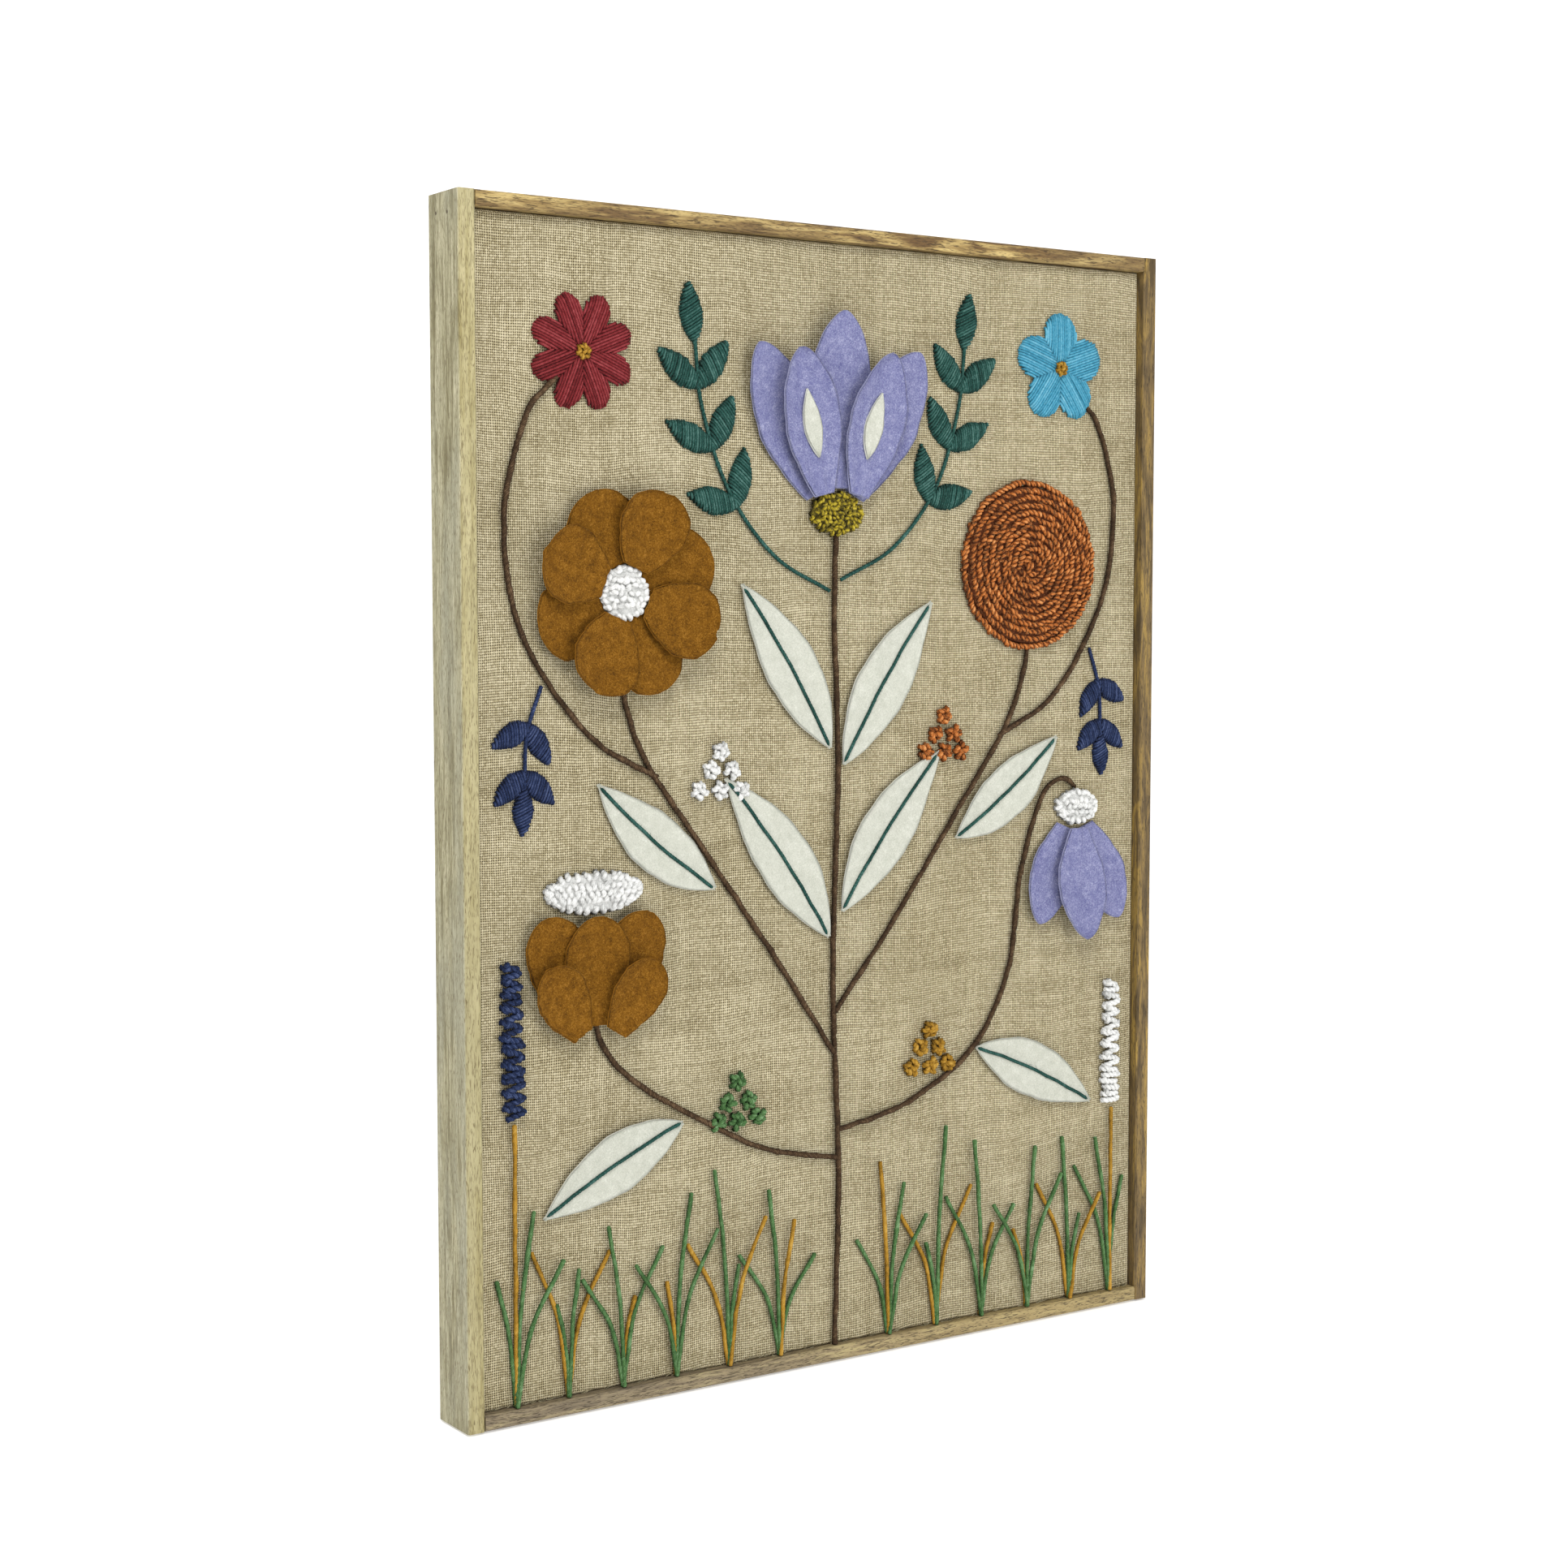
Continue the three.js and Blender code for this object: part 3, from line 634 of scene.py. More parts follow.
def clothPanel(columns, rows, inset, height):
    us = np.linspace(-cloth["half"] + inset, cloth["half"] - inset, columns + 1)
    vs = np.linspace(cloth["foot"] + inset, cloth["head"] - inset, rows + 1)
    u, v = np.meshgrid(us, vs)
    h = height - clothSag(u, v) * np.clip((clothEdge(u, v) - inset) / 10, 0, 1)
    return np.column_stack([u.ravel(), v.ravel(), h.ravel()])


def makeCloth():
    thick, depth, fold, hem = (cloth[key] for key in ("thick", "depth", "fold", "hem"))
    columns = round(2 * cloth["half"] / cloth["cell"])
    rows = round((cloth["head"] - cloth["foot"]) / cloth["cell"])
    bends = [radians(angle) for angle in (30, 60, 90)]
    outside = [(fold * (1 - sin(a)), -fold * (1 - cos(a))) for a in bends]
    outside += [(0, -depth * 0.5), (0, -depth + fold)]
    outside += [(fold * (1 - cos(a)), -depth + fold * (1 - sin(a))) for a in bends]
    outside += [(8, -depth), (15, -depth - 0.25), (hem + thick, -depth)]
    inside = [(hem + thick, -depth + thick), (8, -depth + thick), (thick + 0.3, -depth + thick),
              (thick, -depth + thick + 0.3), (thick, -depth * 0.5), (thick, -thick - 0.3)]
    cells, rim = gridCells(rows, columns), gridRim(rows, columns)
    points = [clothPanel(columns, rows, fold, 0)]
    count = len(points[0])
    rings = [rim]
    for inset, height in outside + inside:
        ring = clothPanel(columns, rows, inset, height)[rim]
        ring[:, 2] = height
        points.append(ring)
        rings.append(count + np.arange(len(rim)))
        count += len(rim)
    points.append(clothPanel(columns, rows, thick + 0.3, -thick))
    rings.append(count + rim)
    quads = [cells, (cells + count)[:, ::-1]]
    for ring, following in zip(rings, rings[1:]):
        quads.append(np.roll(between(ring, following), 1, axis=1))  # split along their other diagonal
    piece = makePiece("jute_cloth", np.vstack(points), np.vstack(quads), [], "jute", ["ground_cloth"])


makeCloth()
print("cloth done")

# felt strips: the outline of every leaf and petal, bent along its length
felt = {"thick": 2.0, "rim": 0.55, "tip": 0.05, "layer": 2.6, "topSoft": 0.35, "underSoft": 0.25}


def swell(s, at):
    return np.sin(pi / 2 * np.minimum(1, s / at))


def close(s, start):
    return np.maximum(0, (s - start) / (1 - start))


def leafShape(s):
    return np.maximum(felt["tip"], np.sin(pi * s**0.92) ** 0.9)


def pointShape(s):
    return np.maximum(felt["tip"], (0.34 + 0.66 * swell(s, 0.55)) * (1 - close(s, 0.5) ** 1.7) ** 0.6)


def roundShape(s):
    return np.maximum(3 * felt["tip"], (0.42 + 0.58 * swell(s, 0.6)) * (1 - close(s, 0.6) ** 2) ** 0.5)


shapes = {"leaf": leafShape, "point": pointShape, "round": roundShape}


def onStrip(strip, s, t):  # place in the design of a point s along and t across a strip
    bend = radians(strip.get("bend", 0))
    start = radians(strip["angle"]) - bend / 2
    heading = start + bend * s
    half = strip["width"] / 2 * shapes[strip["shape"]](s)
    u, v = polar(strip["base"], strip["length"] * s, start + bend * s / 2)
    return u + t * half * np.sin(heading), v - t * half * np.cos(heading)


def cutRim(top, under, border):  # rounds the cut edge and gives the two rings of points round it
    away = np.roll(top[border], -1, 0) - np.roll(top[border], 1, 0)
    away[:, 2] = 0
    away = unit(away)
    outward = np.column_stack([away[:, 1], -away[:, 0], np.zeros(len(away))])
    middle = (top[border] + under[border]) / 2
    if np.sum(outward * (middle - middle.mean(0))) < 0:
        outward = -outward
    top[border] -= [0, 0, felt["topSoft"]]
    under[border] += [0, 0, felt["underSoft"]]
    rimHigh = top[border] * 0.8 + under[border] * 0.2 + outward * felt["rim"] * 0.75
    rimLow = top[border] * 0.25 + under[border] * 0.75 + outward * felt["rim"] * 0.8
    return rimHigh, rimLow


def feltSheet(piece, strip):
    share = float(np.mean(shapes[strip["shape"]](np.linspace(0, 1, 200))))
    flat = (strip["width"] * 0.001, strip["length"] * 0.001)
    area = min(1.0, max(0.3, share)) * flat[0] * flat[1]


def makeFelt(node, strip, lift, finish, rows=44, columns=14):
    s = (1 - np.cos(np.linspace(0, pi, rows + 1))) / 2
    t = np.linspace(-1, 1, columns + 1)
    t = np.sign(t) * np.abs(t) ** 0.9
    sGrid, tGrid = np.meshgrid(s, t, indexing="ij")
    u, v = onStrip(strip, sGrid, tGrid)
    wobble = 1 + 0.02 * np.sin(s * 19 + chance.uniform(0, 6)) + 0.012 * np.sin(s * 43 + chance.uniform(0, 6))
    middleU, middleV = (part[:, None] for part in onStrip(strip, s, 0 * s))
    u = middleU + (u - middleU) * wobble[:, None]
    v = middleV + (v - middleV) * wobble[:, None]
    low = lift(u, v, sGrid, tGrid)
    top = np.stack([u, v, low + felt["thick"]], -1).reshape(-1, 3)
    under = np.stack([u, v, low], -1).reshape(-1, 3)
    border = np.roll(gridRim(rows, columns)[::-1], 1)
    rims = cutRim(top, under, border)
    size, ring = len(top), len(border)
    points = np.vstack([top, under, *rims])
    cells = gridCells(rows, columns)
    quads = [cells[:, ::-1] + size, cells]
    first = 2 * size + np.arange(ring)
    chain = [border, first, first + ring, border + size]
    for edge, following in zip(chain, chain[1:]):
        quads.append(between(edge, following))
    quads = np.vstack(quads)
    corner = points[quads[len(cells)]]
    if np.cross(corner[1] - corner[0], corner[2] - corner[0])[2] < 0:
        quads = quads[:, ::-1]
    # painted highlight on the cut edge: full on the upper rim row, less on the lower
    rimHighlight = np.concatenate([np.zeros(2 * size), np.ones(ring), np.full(ring, 0.4)])
    feltSheet(makePiece("cut_" + node, points, quads, [], finish, [node], {"tint": rimHighlight}), strip)


feltLeaves = [
    {"base": (-5, 436), "angle": 123, "length": 138, "width": 43, "bend": 10},
    {"base": (7, 424), "angle": 56, "length": 140, "width": 44, "bend": -10},
    {"base": (-6, 300), "angle": 127, "length": 146, "width": 44, "bend": 12},
    {"base": (6, 318), "angle": 52, "length": 142, "width": 44, "bend": -12},
    {"base": (-103, 341), "angle": 141, "length": 120, "width": 40, "bend": -14},
    {"base": (110, 366), "angle": 37, "length": 120, "width": 40, "bend": 14},
    {"base": (-130, 179), "angle": 206, "length": 122, "width": 41, "bend": 12},
    {"base": (130, 206), "angle": -25, "length": 124, "width": 41, "bend": -12},
]
midrib = {"radius": 1.4, "start": 0.015, "end": 0.975, "pitch": 5.0, "stitches": 15, "dips": [1.6, 0.9, 0.3]}


def leafLift(u, v, s, t):
    wave = 0.7 * np.sin(s * 9 + u * 0.05) * t * t * np.sin(pi * s)
    arch = 0.3 * (1 - t * t) * np.sin(pi * s)
    return 0.35 + 1.95 * t * t + arch + wave * (1 + 0.5 * np.sign(t))


def makeFeltLeaves():
    ribs = YarnMesh(sides=8, lobe=0.18, pitch=midrib["pitch"], flank=0.4, uneven=0.05)
    for number, leaf in enumerate(feltLeaves, 1):
        leaf = dict(leaf, shape="leaf")
        makeFelt(f"felt_leaf_{number}", leaf, leafLift, "creamFelt")
        s = np.linspace(midrib["start"], midrib["end"], 120)
        wander = softNoise(len(s), 12, 0.25)
        half = leaf["width"] / 2 * leafShape(s)
        u, v = onStrip(leaf, s, wander / np.maximum(half, 1))
        stitches = 0.35 * np.abs(np.sin(s * pi * midrib["stitches"])) ** 0.5
        height = leafLift(u, v, s, 0 * s) + felt["thick"] + 0.35 + stitches
        height[:3] -= midrib["dips"]
        height[-3:] -= midrib["dips"][::-1]
        ribs.lay(np.column_stack([u, v, height]), midrib["radius"], 0.45 + softNoise(len(s), 9, 0.15))
    ribs.make("leaf_midribs", "tealWool")
    makeFibres("leaf_midribs_fibres", "tealWool", (ribs, 4.5, 2.0))


makeFeltLeaves()
print("felt leaves done")

# flowers of overlapping petals: every petal rests on a shallow bowl round the flower's foot
fans = {
    "tulip": {
        "foot": (0, 604), "reach": 140, "rise": 7, "ripple": 0.9, "lobes": 8, "shape": "point",
        "finish": "lilacFelt", "curl": 4.0, "tip": 1.5,
        "petals": [
            {"at": (-17, 12), "angle": 117, "length": 116, "width": 52, "layer": 0},
            {"at": (17, 12), "angle": 63, "length": 116, "width": 52, "layer": 0},
            {"at": (0, 17), "angle": 90, "length": 124, "width": 58, "layer": 1},
            {"at": (-15, 12), "angle": 104, "length": 104, "width": 48, "layer": 2},
            {"at": (15, 12), "angle": 76, "length": 104, "width": 48, "layer": 2},
        ],
    },
    "thistle": {
        "foot": (-200, 246), "reach": 90, "rise": 5, "ripple": 0.9, "lobes": 10, "shape": "round",
        "finish": "ochreFelt", "curl": 3.6, "tip": 2.0,
        "petals": [
            {"at": (-13, 14), "angle": 112, "length": 74, "width": 46, "layer": 0},
            {"at": (13, 14), "angle": 68, "length": 74, "width": 46, "layer": 0},
            {"at": (0, 8), "angle": 90, "length": 74, "width": 50, "layer": 1},
            {"at": (-13, 3), "angle": 122, "length": 55, "width": 38, "layer": 2},
            {"at": (13, 3), "angle": 58, "length": 55, "width": 38, "layer": 2},
        ],
    },
    "bell": {
        "foot": (226, 384), "reach": 100, "rise": 6, "ripple": 1, "lobes": 8, "shape": "point",
        "finish": "lilacFelt", "curl": 4.0, "tip": 2.0,
        "petals": [
            {"at": (-11, -15), "angle": 248, "length": 78, "width": 42, "layer": 0},
            {"at": (11, -15), "angle": 292, "length": 78, "width": 42, "layer": 0},
            {"at": (0, -17), "angle": 270, "length": 84, "width": 48, "layer": 1},
        ],
    },
}
slips = {
    "tulip_slip_left": {"at": (-21, 38), "angle": 104, "length": 48, "width": 15, "layer": 3.15},
    "tulip_slip_right": {"at": (21, 38), "angle": 76, "length": 48, "width": 15, "layer": 3.15},
}
daisy = {
    "foot": (-176, 546), "eye": 19, "reach": 72, "petals": 8, "width": 52, "rise": 5, "ripple": 0.8,
    "lobes": 4, "shape": "round", "finish": "ochreFelt", "curl": 4.2, "tip": 2.2, "lean": 1.3,
}
topPetalLean = 0.9


def bowl(flower, u, v):
    du, dv = u - flower["foot"][0], v - flower["foot"][1]
    away = np.hypot(du, dv) / flower["reach"]
    turn = np.arctan2(dv, du)
    return away * (flower["rise"] * away + flower["ripple"] * (1 + np.cos(flower["lobes"] * turn)))


def petalLift(flower, layer, curl, lean):
    wave = chance.uniform(0, 6)
    curled = curl > 0

    def lift(u, v, s, t):
        free = np.clip(s * 1.8 - 0.2, 0, 1) * np.clip(1.6 - s * 0.9, 0, 1)
        cup = curl * np.abs(t) ** 2.4 * free
        tip = (0.5 + 0.5 * curled) * flower["tip"] * np.clip(s - 0.5, 0, 1) ** 2 * 4
        pleats = 0.8 * (1 + np.cos(t * 7.5)) * np.exp(-((s / 0.28) ** 2)) * (layer > 0)
        fold = -0.9 * np.exp(-(((t + 0.25 * s) / 0.2) ** 2)) * np.sin(pi * s) * curled
        ripple = np.abs(0.5 * np.sin(s * 7 + t * 2.5 + wave) * t * t * free)
        tilt = lean * t * s + abs(lean)
        base = 0.9 * curled + 0.35 + layer * felt["layer"] + bowl(flower, u, v)
        return base + cup + tip + pleats + fold + ripple + tilt
    return lift


def fromFoot(flower, part, shape):
    base = (flower["foot"][0] + part["at"][0], flower["foot"][1] + part["at"][1])
    return dict(part, base=base, shape=shape)


def makePetals():
    for name, flower in fans.items():
        topLayer = max(petal["layer"] for petal in flower["petals"])
        for number, petal in enumerate(flower["petals"], 1):
            curl = flower["curl"] if petal["layer"] == topLayer else 0.0
            lean = (topPetalLean if petal["at"][0] <= 0 else -topPetalLean) * (curl > 0)
            lift = petalLift(flower, petal["layer"], curl, lean)
            rests = ["jute_cloth"] if petal["layer"] == 0 else [f"cut_{name}_petal_1"]
            strip = fromFoot(flower, petal, flower["shape"])
            makeFelt(f"{name}_petal_{number}", strip, lift, flower["finish"], 40, 20)
    for name, slip in slips.items():
        lift = petalLift(fans["tulip"], slip["layer"], 0.0, 0.0)
        strip = fromFoot(fans["tulip"], slip, "leaf")
        makeFelt(name, strip, lift, "creamFelt", 30, 10)
    inner = daisy["eye"] - 0.5
    for number in range(daisy["petals"]):
        angle = 360 / daisy["petals"] * (number + 0.5)
        strip = {"base": polar(daisy["foot"], inner, radians(angle)), "angle": angle,
                 "length": daisy["reach"] - inner, "width": daisy["width"], "shape": daisy["shape"]}
        layer = number % 2
        lift = petalLift(daisy, layer, daisy["curl"] * layer, daisy["lean"] * layer)
        rests = ["jute_cloth"] if layer == 0 else [f"cut_daisy_petal_{number}"]
        makeFelt(f"daisy_petal_{number + 1}", strip, lift, daisy["finish"], 30, 20)


makePetals()
print("petals done")

# tufted mounds: rings of short yarn loops over a low core
pileHeight = 9
# painted shade: each mound sets how dark its core is painted where it shows between the loops, and how dark
# the loops' sides are
cottonTuft = {
    "finish": "whiteCotton", "yarn": 2.3, "ring": 4.9, "gap": 4.5, "span": 4.2, "heading": "any", "peak": 0.5,
    "lobe": 0.26, "pitch": 7.0, "flank": 0.5, "groove": 0.5,
}
mounds = {
    "dahlia": {
        "foot": (178, 568), "radius": (64, 64), "finish": "rustWool", "yarn": 2.4, "ring": 5.5, "gap": 6.5,
        "span": 8.0, "heading": "row", "peak": 0.4, "lobe": 0.42, "pitch": 6.6, "flank": 0.62, "groove": 0.95,
    },
    "daisy_eye": dict(cottonTuft, foot=daisy["foot"], radius=(daisy["eye"], daisy["eye"])),
    "tulip_cup": {
        "foot": (0, 603), "radius": (22, 15), "finish": "mustardWool", "yarn": 1.75, "ring": 3.7, "gap": 3.7,
        "span": 4.8, "heading": "any", "peak": 0.6, "lobe": 0.3, "pitch": 6.0, "flank": 0.5, "groove": 0.5,
    },
    "thistle_crown": dict(cottonTuft, foot=(-200, 344), radius=(38, 14), gap=4.6, span=5.0, heading="fan"),
    "bell_cap": dict(cottonTuft, foot=(226, 384), radius=(20, 13.5), ring=4.7),
}


def moundTop(away):
    return pileHeight * np.interp(away, [0, 0.45, 0.82, 1], [0.97, 1.0, 0.88, 0.5])


def padForm(rings, tops):  # a closed form over rings that shrink from the rim to the middle
    around = len(rings[0])
    points = [np.column_stack([ring, np.full(around, top)]) for ring, top in zip(rings, tops)]
    points.append(np.column_stack([rings[-1], np.full(around, 0.15)]))
    column = np.arange(around)
    after = np.roll(column, -1)
    starts = around * np.arange(len(rings) + 1)
    quads = [np.stack([start + column, start + after, start + around + after, start + around + column], -1)
             for start in starts[:-1]]
    quads.append(np.stack([starts[-1] + column, starts[-1] + after, after, column], -1))
    return np.vstack(points), np.vstack(quads)


def moundCore(mound):  # a plain dome that closes the gaps between the loops
    turn = 2 * pi * np.arange(40) / 40
    shares = np.array([0.95, 0.93, 0.84, 0.7, 0.45, 0.2, 0.02])
    tops = [0.4] + list(0.66 * moundTop(shares[1:]))
    rx, ry = (radius * 0.98 for radius in mound["radius"])
    rings = [np.column_stack([mound["foot"][0] + rx * share * np.cos(turn),
                              mound["foot"][1] + ry * share * np.sin(turn)]) for share in shares]
    return padForm(rings, tops)


# one loop, standing over its middle
def layLoop(yarn, at, heading, span, foot, top, radius, rings=9, peak=0.62):
    t = np.linspace(0, 1, rings)
    swing = np.sin(pi * t)
    reach = (t - 0.5) * span
    lean = chance.normal(0, 0.35) * swing
    u = at[0] + reach * cos(heading) - lean * sin(heading)
    v = at[1] + reach * sin(heading) + lean * cos(heading)
    height = foot + (top - foot) * swing ** peak
    side = (sin(heading), -cos(heading), 0)
    yarn.lay(np.column_stack([u, v, height]), radius, chance.uniform(0.2, 0.85), side)


def loopPlaces(mound, rx, ry):  # rings of loops that chain into rows, or an even scatter
    gap, ring = mound["gap"], mound["ring"]
    if mound["heading"] == "row":
        places = []
        for away in rx - ring * np.arange(int(rx / ring) + 1):
            count = max(1, round(2 * pi * away / gap))
            turn = chance.uniform(0, 2 * pi)
            places += [polar((0, 0), away, turn + 2 * pi * number / count) for number in range(count)]
        return places
    turns = np.linspace(0, 2 * pi, max(6, round(pi * (rx + ry) / gap)), endpoint=False)
    places = [(rx * cos(turn), ry * sin(turn)) for turn in turns]
    rim = gap * 0.72  # the scatter keeps this far inside the outer ring
    for row in range(-12, 13):
        for column in range(-12, 13):
            u, v = (column + 0.5 * (row % 2)) * gap * 1.05, row * ring * 0.88
            if hypot(u / (rx - rim), v / (ry - rim)) < 1:
                places.append((u, v))
    return places


def loopHeading(way, du, dv):
    if way == "row":
        return atan2(dv, du) + pi / 2 + chance.normal(0, 0.17)
    if way == "fan":
        return atan2(dv + 52, du) + chance.normal(0, 0.3)
    return chance.uniform(0, pi)


def makeMound(name, mound):
    yarn = YarnMesh(sides=12, lobe=mound["lobe"], pitch=mound["pitch"], flank=mound["flank"])
    # painted shade on the core, dark where it shows between the loops
    yarn.add(*moundCore(mound), 0.4, mound["groove"])
    thick = mound["yarn"]
    rx, ry = mound["radius"][0] - thick * 1.15, mound["radius"][1] - thick * 1.15
    for du, dv in loopPlaces(mound, rx, ry):
        du, dv = du + chance.normal(0, 0.4), dv + chance.normal(0, 0.4)
        heading = loopHeading(mound["heading"], du, dv)
        share = hypot(du / mound["radius"][0], dv / mound["radius"][1])
        top = float(moundTop(share)) - thick + chance.normal(0, 0.5) + 0.3
        at = (mound["foot"][0] + du, mound["foot"][1] + dv)
        span = mound["span"] + chance.normal(0, 0.4)
        radius = thick * (1 + chance.normal(0, 0.06))
        layLoop(yarn, at, heading, span, max(1.2, top - 4.4), top, radius, 9, mound["peak"])
    yarn.make("tufted_" + name, mound["finish"], [name])
    makeFibres("fibres_" + name, mound["finish"], (yarn, 11.0, 2.4))


for name, mound in mounds.items():
    makeMound(name, mound)
print("tufts done")

# berries: chunky knots of loops, three rows of one, two and three
bunches = {
    "white_berries": {"foot": (-98, 436), "finish": "whiteCotton"},
    "rust_berries": {"foot": (98, 456), "finish": "rustWool"},
    "green_berries": {"foot": (-84, 202), "finish": "greenWool"},
    "mustard_berries": {"foot": (86, 224), "finish": "goldWool"},
}
berry = {"pitch": 17, "row": 13.4, "height": 7, "yarn": 2.15, "ring": 4.2, "loops": 5, "span": 4.4}


def berryPlaces(bunch):
    return [(bunch["foot"][0] + (place - row / 2) * berry["pitch"], bunch["foot"][1] - row * berry["row"])
            for row in range(3) for place in range(row + 1)]


def layBerry(yarn, middle):
    turn = chance.uniform(0, 2 * pi)
    for number in range(berry["loops"]):
        angle = turn + 2 * pi * number / berry["loops"] + chance.normal(0, 0.14)
        top = berry["height"] - berry["yarn"] - 1.0 + chance.normal(0, 0.35)
        heading = angle + chance.normal(0.9, 0.4)
        layLoop(yarn, polar(middle, berry["ring"], angle), heading, berry["span"], 0.9, top, berry["yarn"])
    span, top = berry["span"] * 0.9, berry["height"] - 0.9
    layLoop(yarn, middle, chance.uniform(0, pi), span, 2.0, top, berry["yarn"])


for name, bunch in bunches.items():
    yarn = YarnMesh(sides=12, lobe=0.28, pitch=6.0, flank=0.5)
    for u, v in berryPlaces(bunch):
        layBerry(yarn, (u + chance.normal(0, 0.5), v + chance.normal(0, 0.5)))
    yarn.make("knotted_" + name, bunch["finish"], [name])

# spikes: one column of fat loops that lie across it and lean by turns
spikes = {
    "navy_spike": {"base": (-262, 196), "angle": 91, "length": 104, "width": 19, "finish": "navyWool"},
    "white_spike": {"base": (263, 150), "angle": 90, "length": 96, "width": 20, "finish": "whiteCotton"},
}
spikeLoop = {"row": 4.7, "end": 2.4, "turn": 11, "foot": 1.6, "top": 4.4, "yarn": 2.5}
spikeKnot = {"span": 4.2, "foot": 2.0, "top": 5.4, "yarn": 2.1}  # small loops on top, between the rows


def placeOn(base, angle, along, across):
    return (base[0] + along * cos(angle) + across * sin(angle),
            base[1] + along * sin(angle) - across * cos(angle))


def makeSpike(name, spike):
    yarn = YarnMesh(sides=12, lobe=0.3, pitch=8.0, flank=0.5)
    base, angle = spike["base"], radians(spike["angle"])
    rows = round(spike["length"] / spikeLoop["row"])
    end = spikeLoop["end"]
    for row in range(rows):
        turn = (-1) ** row
        along = end + (spike["length"] - 2 * end) * row / (rows - 1)
        span = spike["width"] * (1 - 0.2 * (row / rows) ** 3) - 5.0 + chance.normal(0, 0.6)
        heading = angle + pi / 2 + radians(turn * spikeLoop["turn"] + chance.normal(0, 7))
        at = placeOn(base, angle, along + chance.normal(0, 0.3), turn * 0.9 + chance.normal(0, 0.4))
        top = spikeLoop["top"] + chance.normal(0, 0.5)
        layLoop(yarn, at, heading, span, spikeLoop["foot"], top, spikeLoop["yarn"], 12, 0.35)
        at = placeOn(base, angle, along + 1.0, turn * span * 0.3)
        heading = angle + chance.uniform(0, pi)
        top = spikeKnot["top"] + chance.normal(0, 0.3)
        layLoop(yarn, at, heading, spikeKnot["span"], spikeKnot["foot"], top, spikeKnot["yarn"], 9, 0.5)
    yarn.make("looped_" + name, spike["finish"], [name])
    makeFibres("fibres_" + name, spike["finish"], (yarn, 9.0, 2.2))


for name, spike in spikes.items():
    makeSpike(name, spike)
print("berries and spikes done")

# couched stems, one branching piece
stems = {
    "radius": 2.1, "pitch": 8.5,
    "paths": [
        [(0, 1), (3, 130), (-2, 270), (2, 420), (-1, 520), (0, 591)],
        [(-1, 215), (-50, 285), (-112, 368), (-158, 430), (-174, 468), (-176, 484)],
        [(0, 245), (54, 310), (114, 390), (158, 450), (174, 490), (177, 505)],
        [(3, 138), (-60, 152), (-124, 184), (-172, 214), (-194, 239), (-199, 256)],
        [(3, 158), (66, 172), (126, 206), (160, 262), (172, 336), (192, 392), (212, 406), (226, 399)],
        [(-150, 420), (-205, 452), (-254, 520), (-266, 596), (-250, 660), (-236, 679), (-226, 688)],
        [(150, 440), (205, 472), (250, 540), (262, 606), (255, 650), (244, 678), (235, 688)],
    ],
}


def makeStems():
    yarn = YarnMesh(sides=12, lobe=0.12, pitch=stems["pitch"], flank=0.6, uneven=0.1)
    for path in stems["paths"]:
        line = strayPath(path, 1.0, 9, (0.22, 0.22))
        radius = stems["radius"] * (1 + softNoise(len(line), 5, 0.07))
        radius[-8:] *= np.linspace(1, 0.75, 8)  # each branch ends a little thinner
        yarn.lay(np.column_stack([line, radius + 0.3]), radius, softTint(len(line), 0.16))
    yarn.make("couched_stems", "brownWool", ["brown_stems"])
    makeFibres("couched_stems_fibres", "brownWool", (yarn, 2.2, 2.6))


makeStems()

# sprigs: a thin stem and pairs of leaves in satin stitch
teal = {"pairs": (0.46, 0.66, 0.86), "length": 42, "width": 18, "splay": 44, "finish": "tealWool"}
navy = {"pairs": (0.4, 0.85), "length": 32, "width": 15, "splay": 46, "finish": "navyWool"}
sprigs = {
    "teal_frond_left": dict(teal, path=[(-5, 548), (-52, 572), (-90, 616), (-112, 672), (-118, 718)]),
    "teal_frond_right": dict(teal, path=[(5, 556), (52, 580), (90, 624), (110, 680), (116, 726)]),
    "navy_sprig_left": dict(navy, path=[(-239, 484), (-250, 452), (-252, 416)]),
    "navy_sprig_right": dict(navy, path=[(239, 505), (249, 474), (251, 438)]),
}
sprigStem = {"radius": 1.55, "height": 1.75, "pitch": 6.5}
satin = {"pitch": 1.95, "radius": 1.12, "dome": 2.2, "slant": 26, "samples": 11}


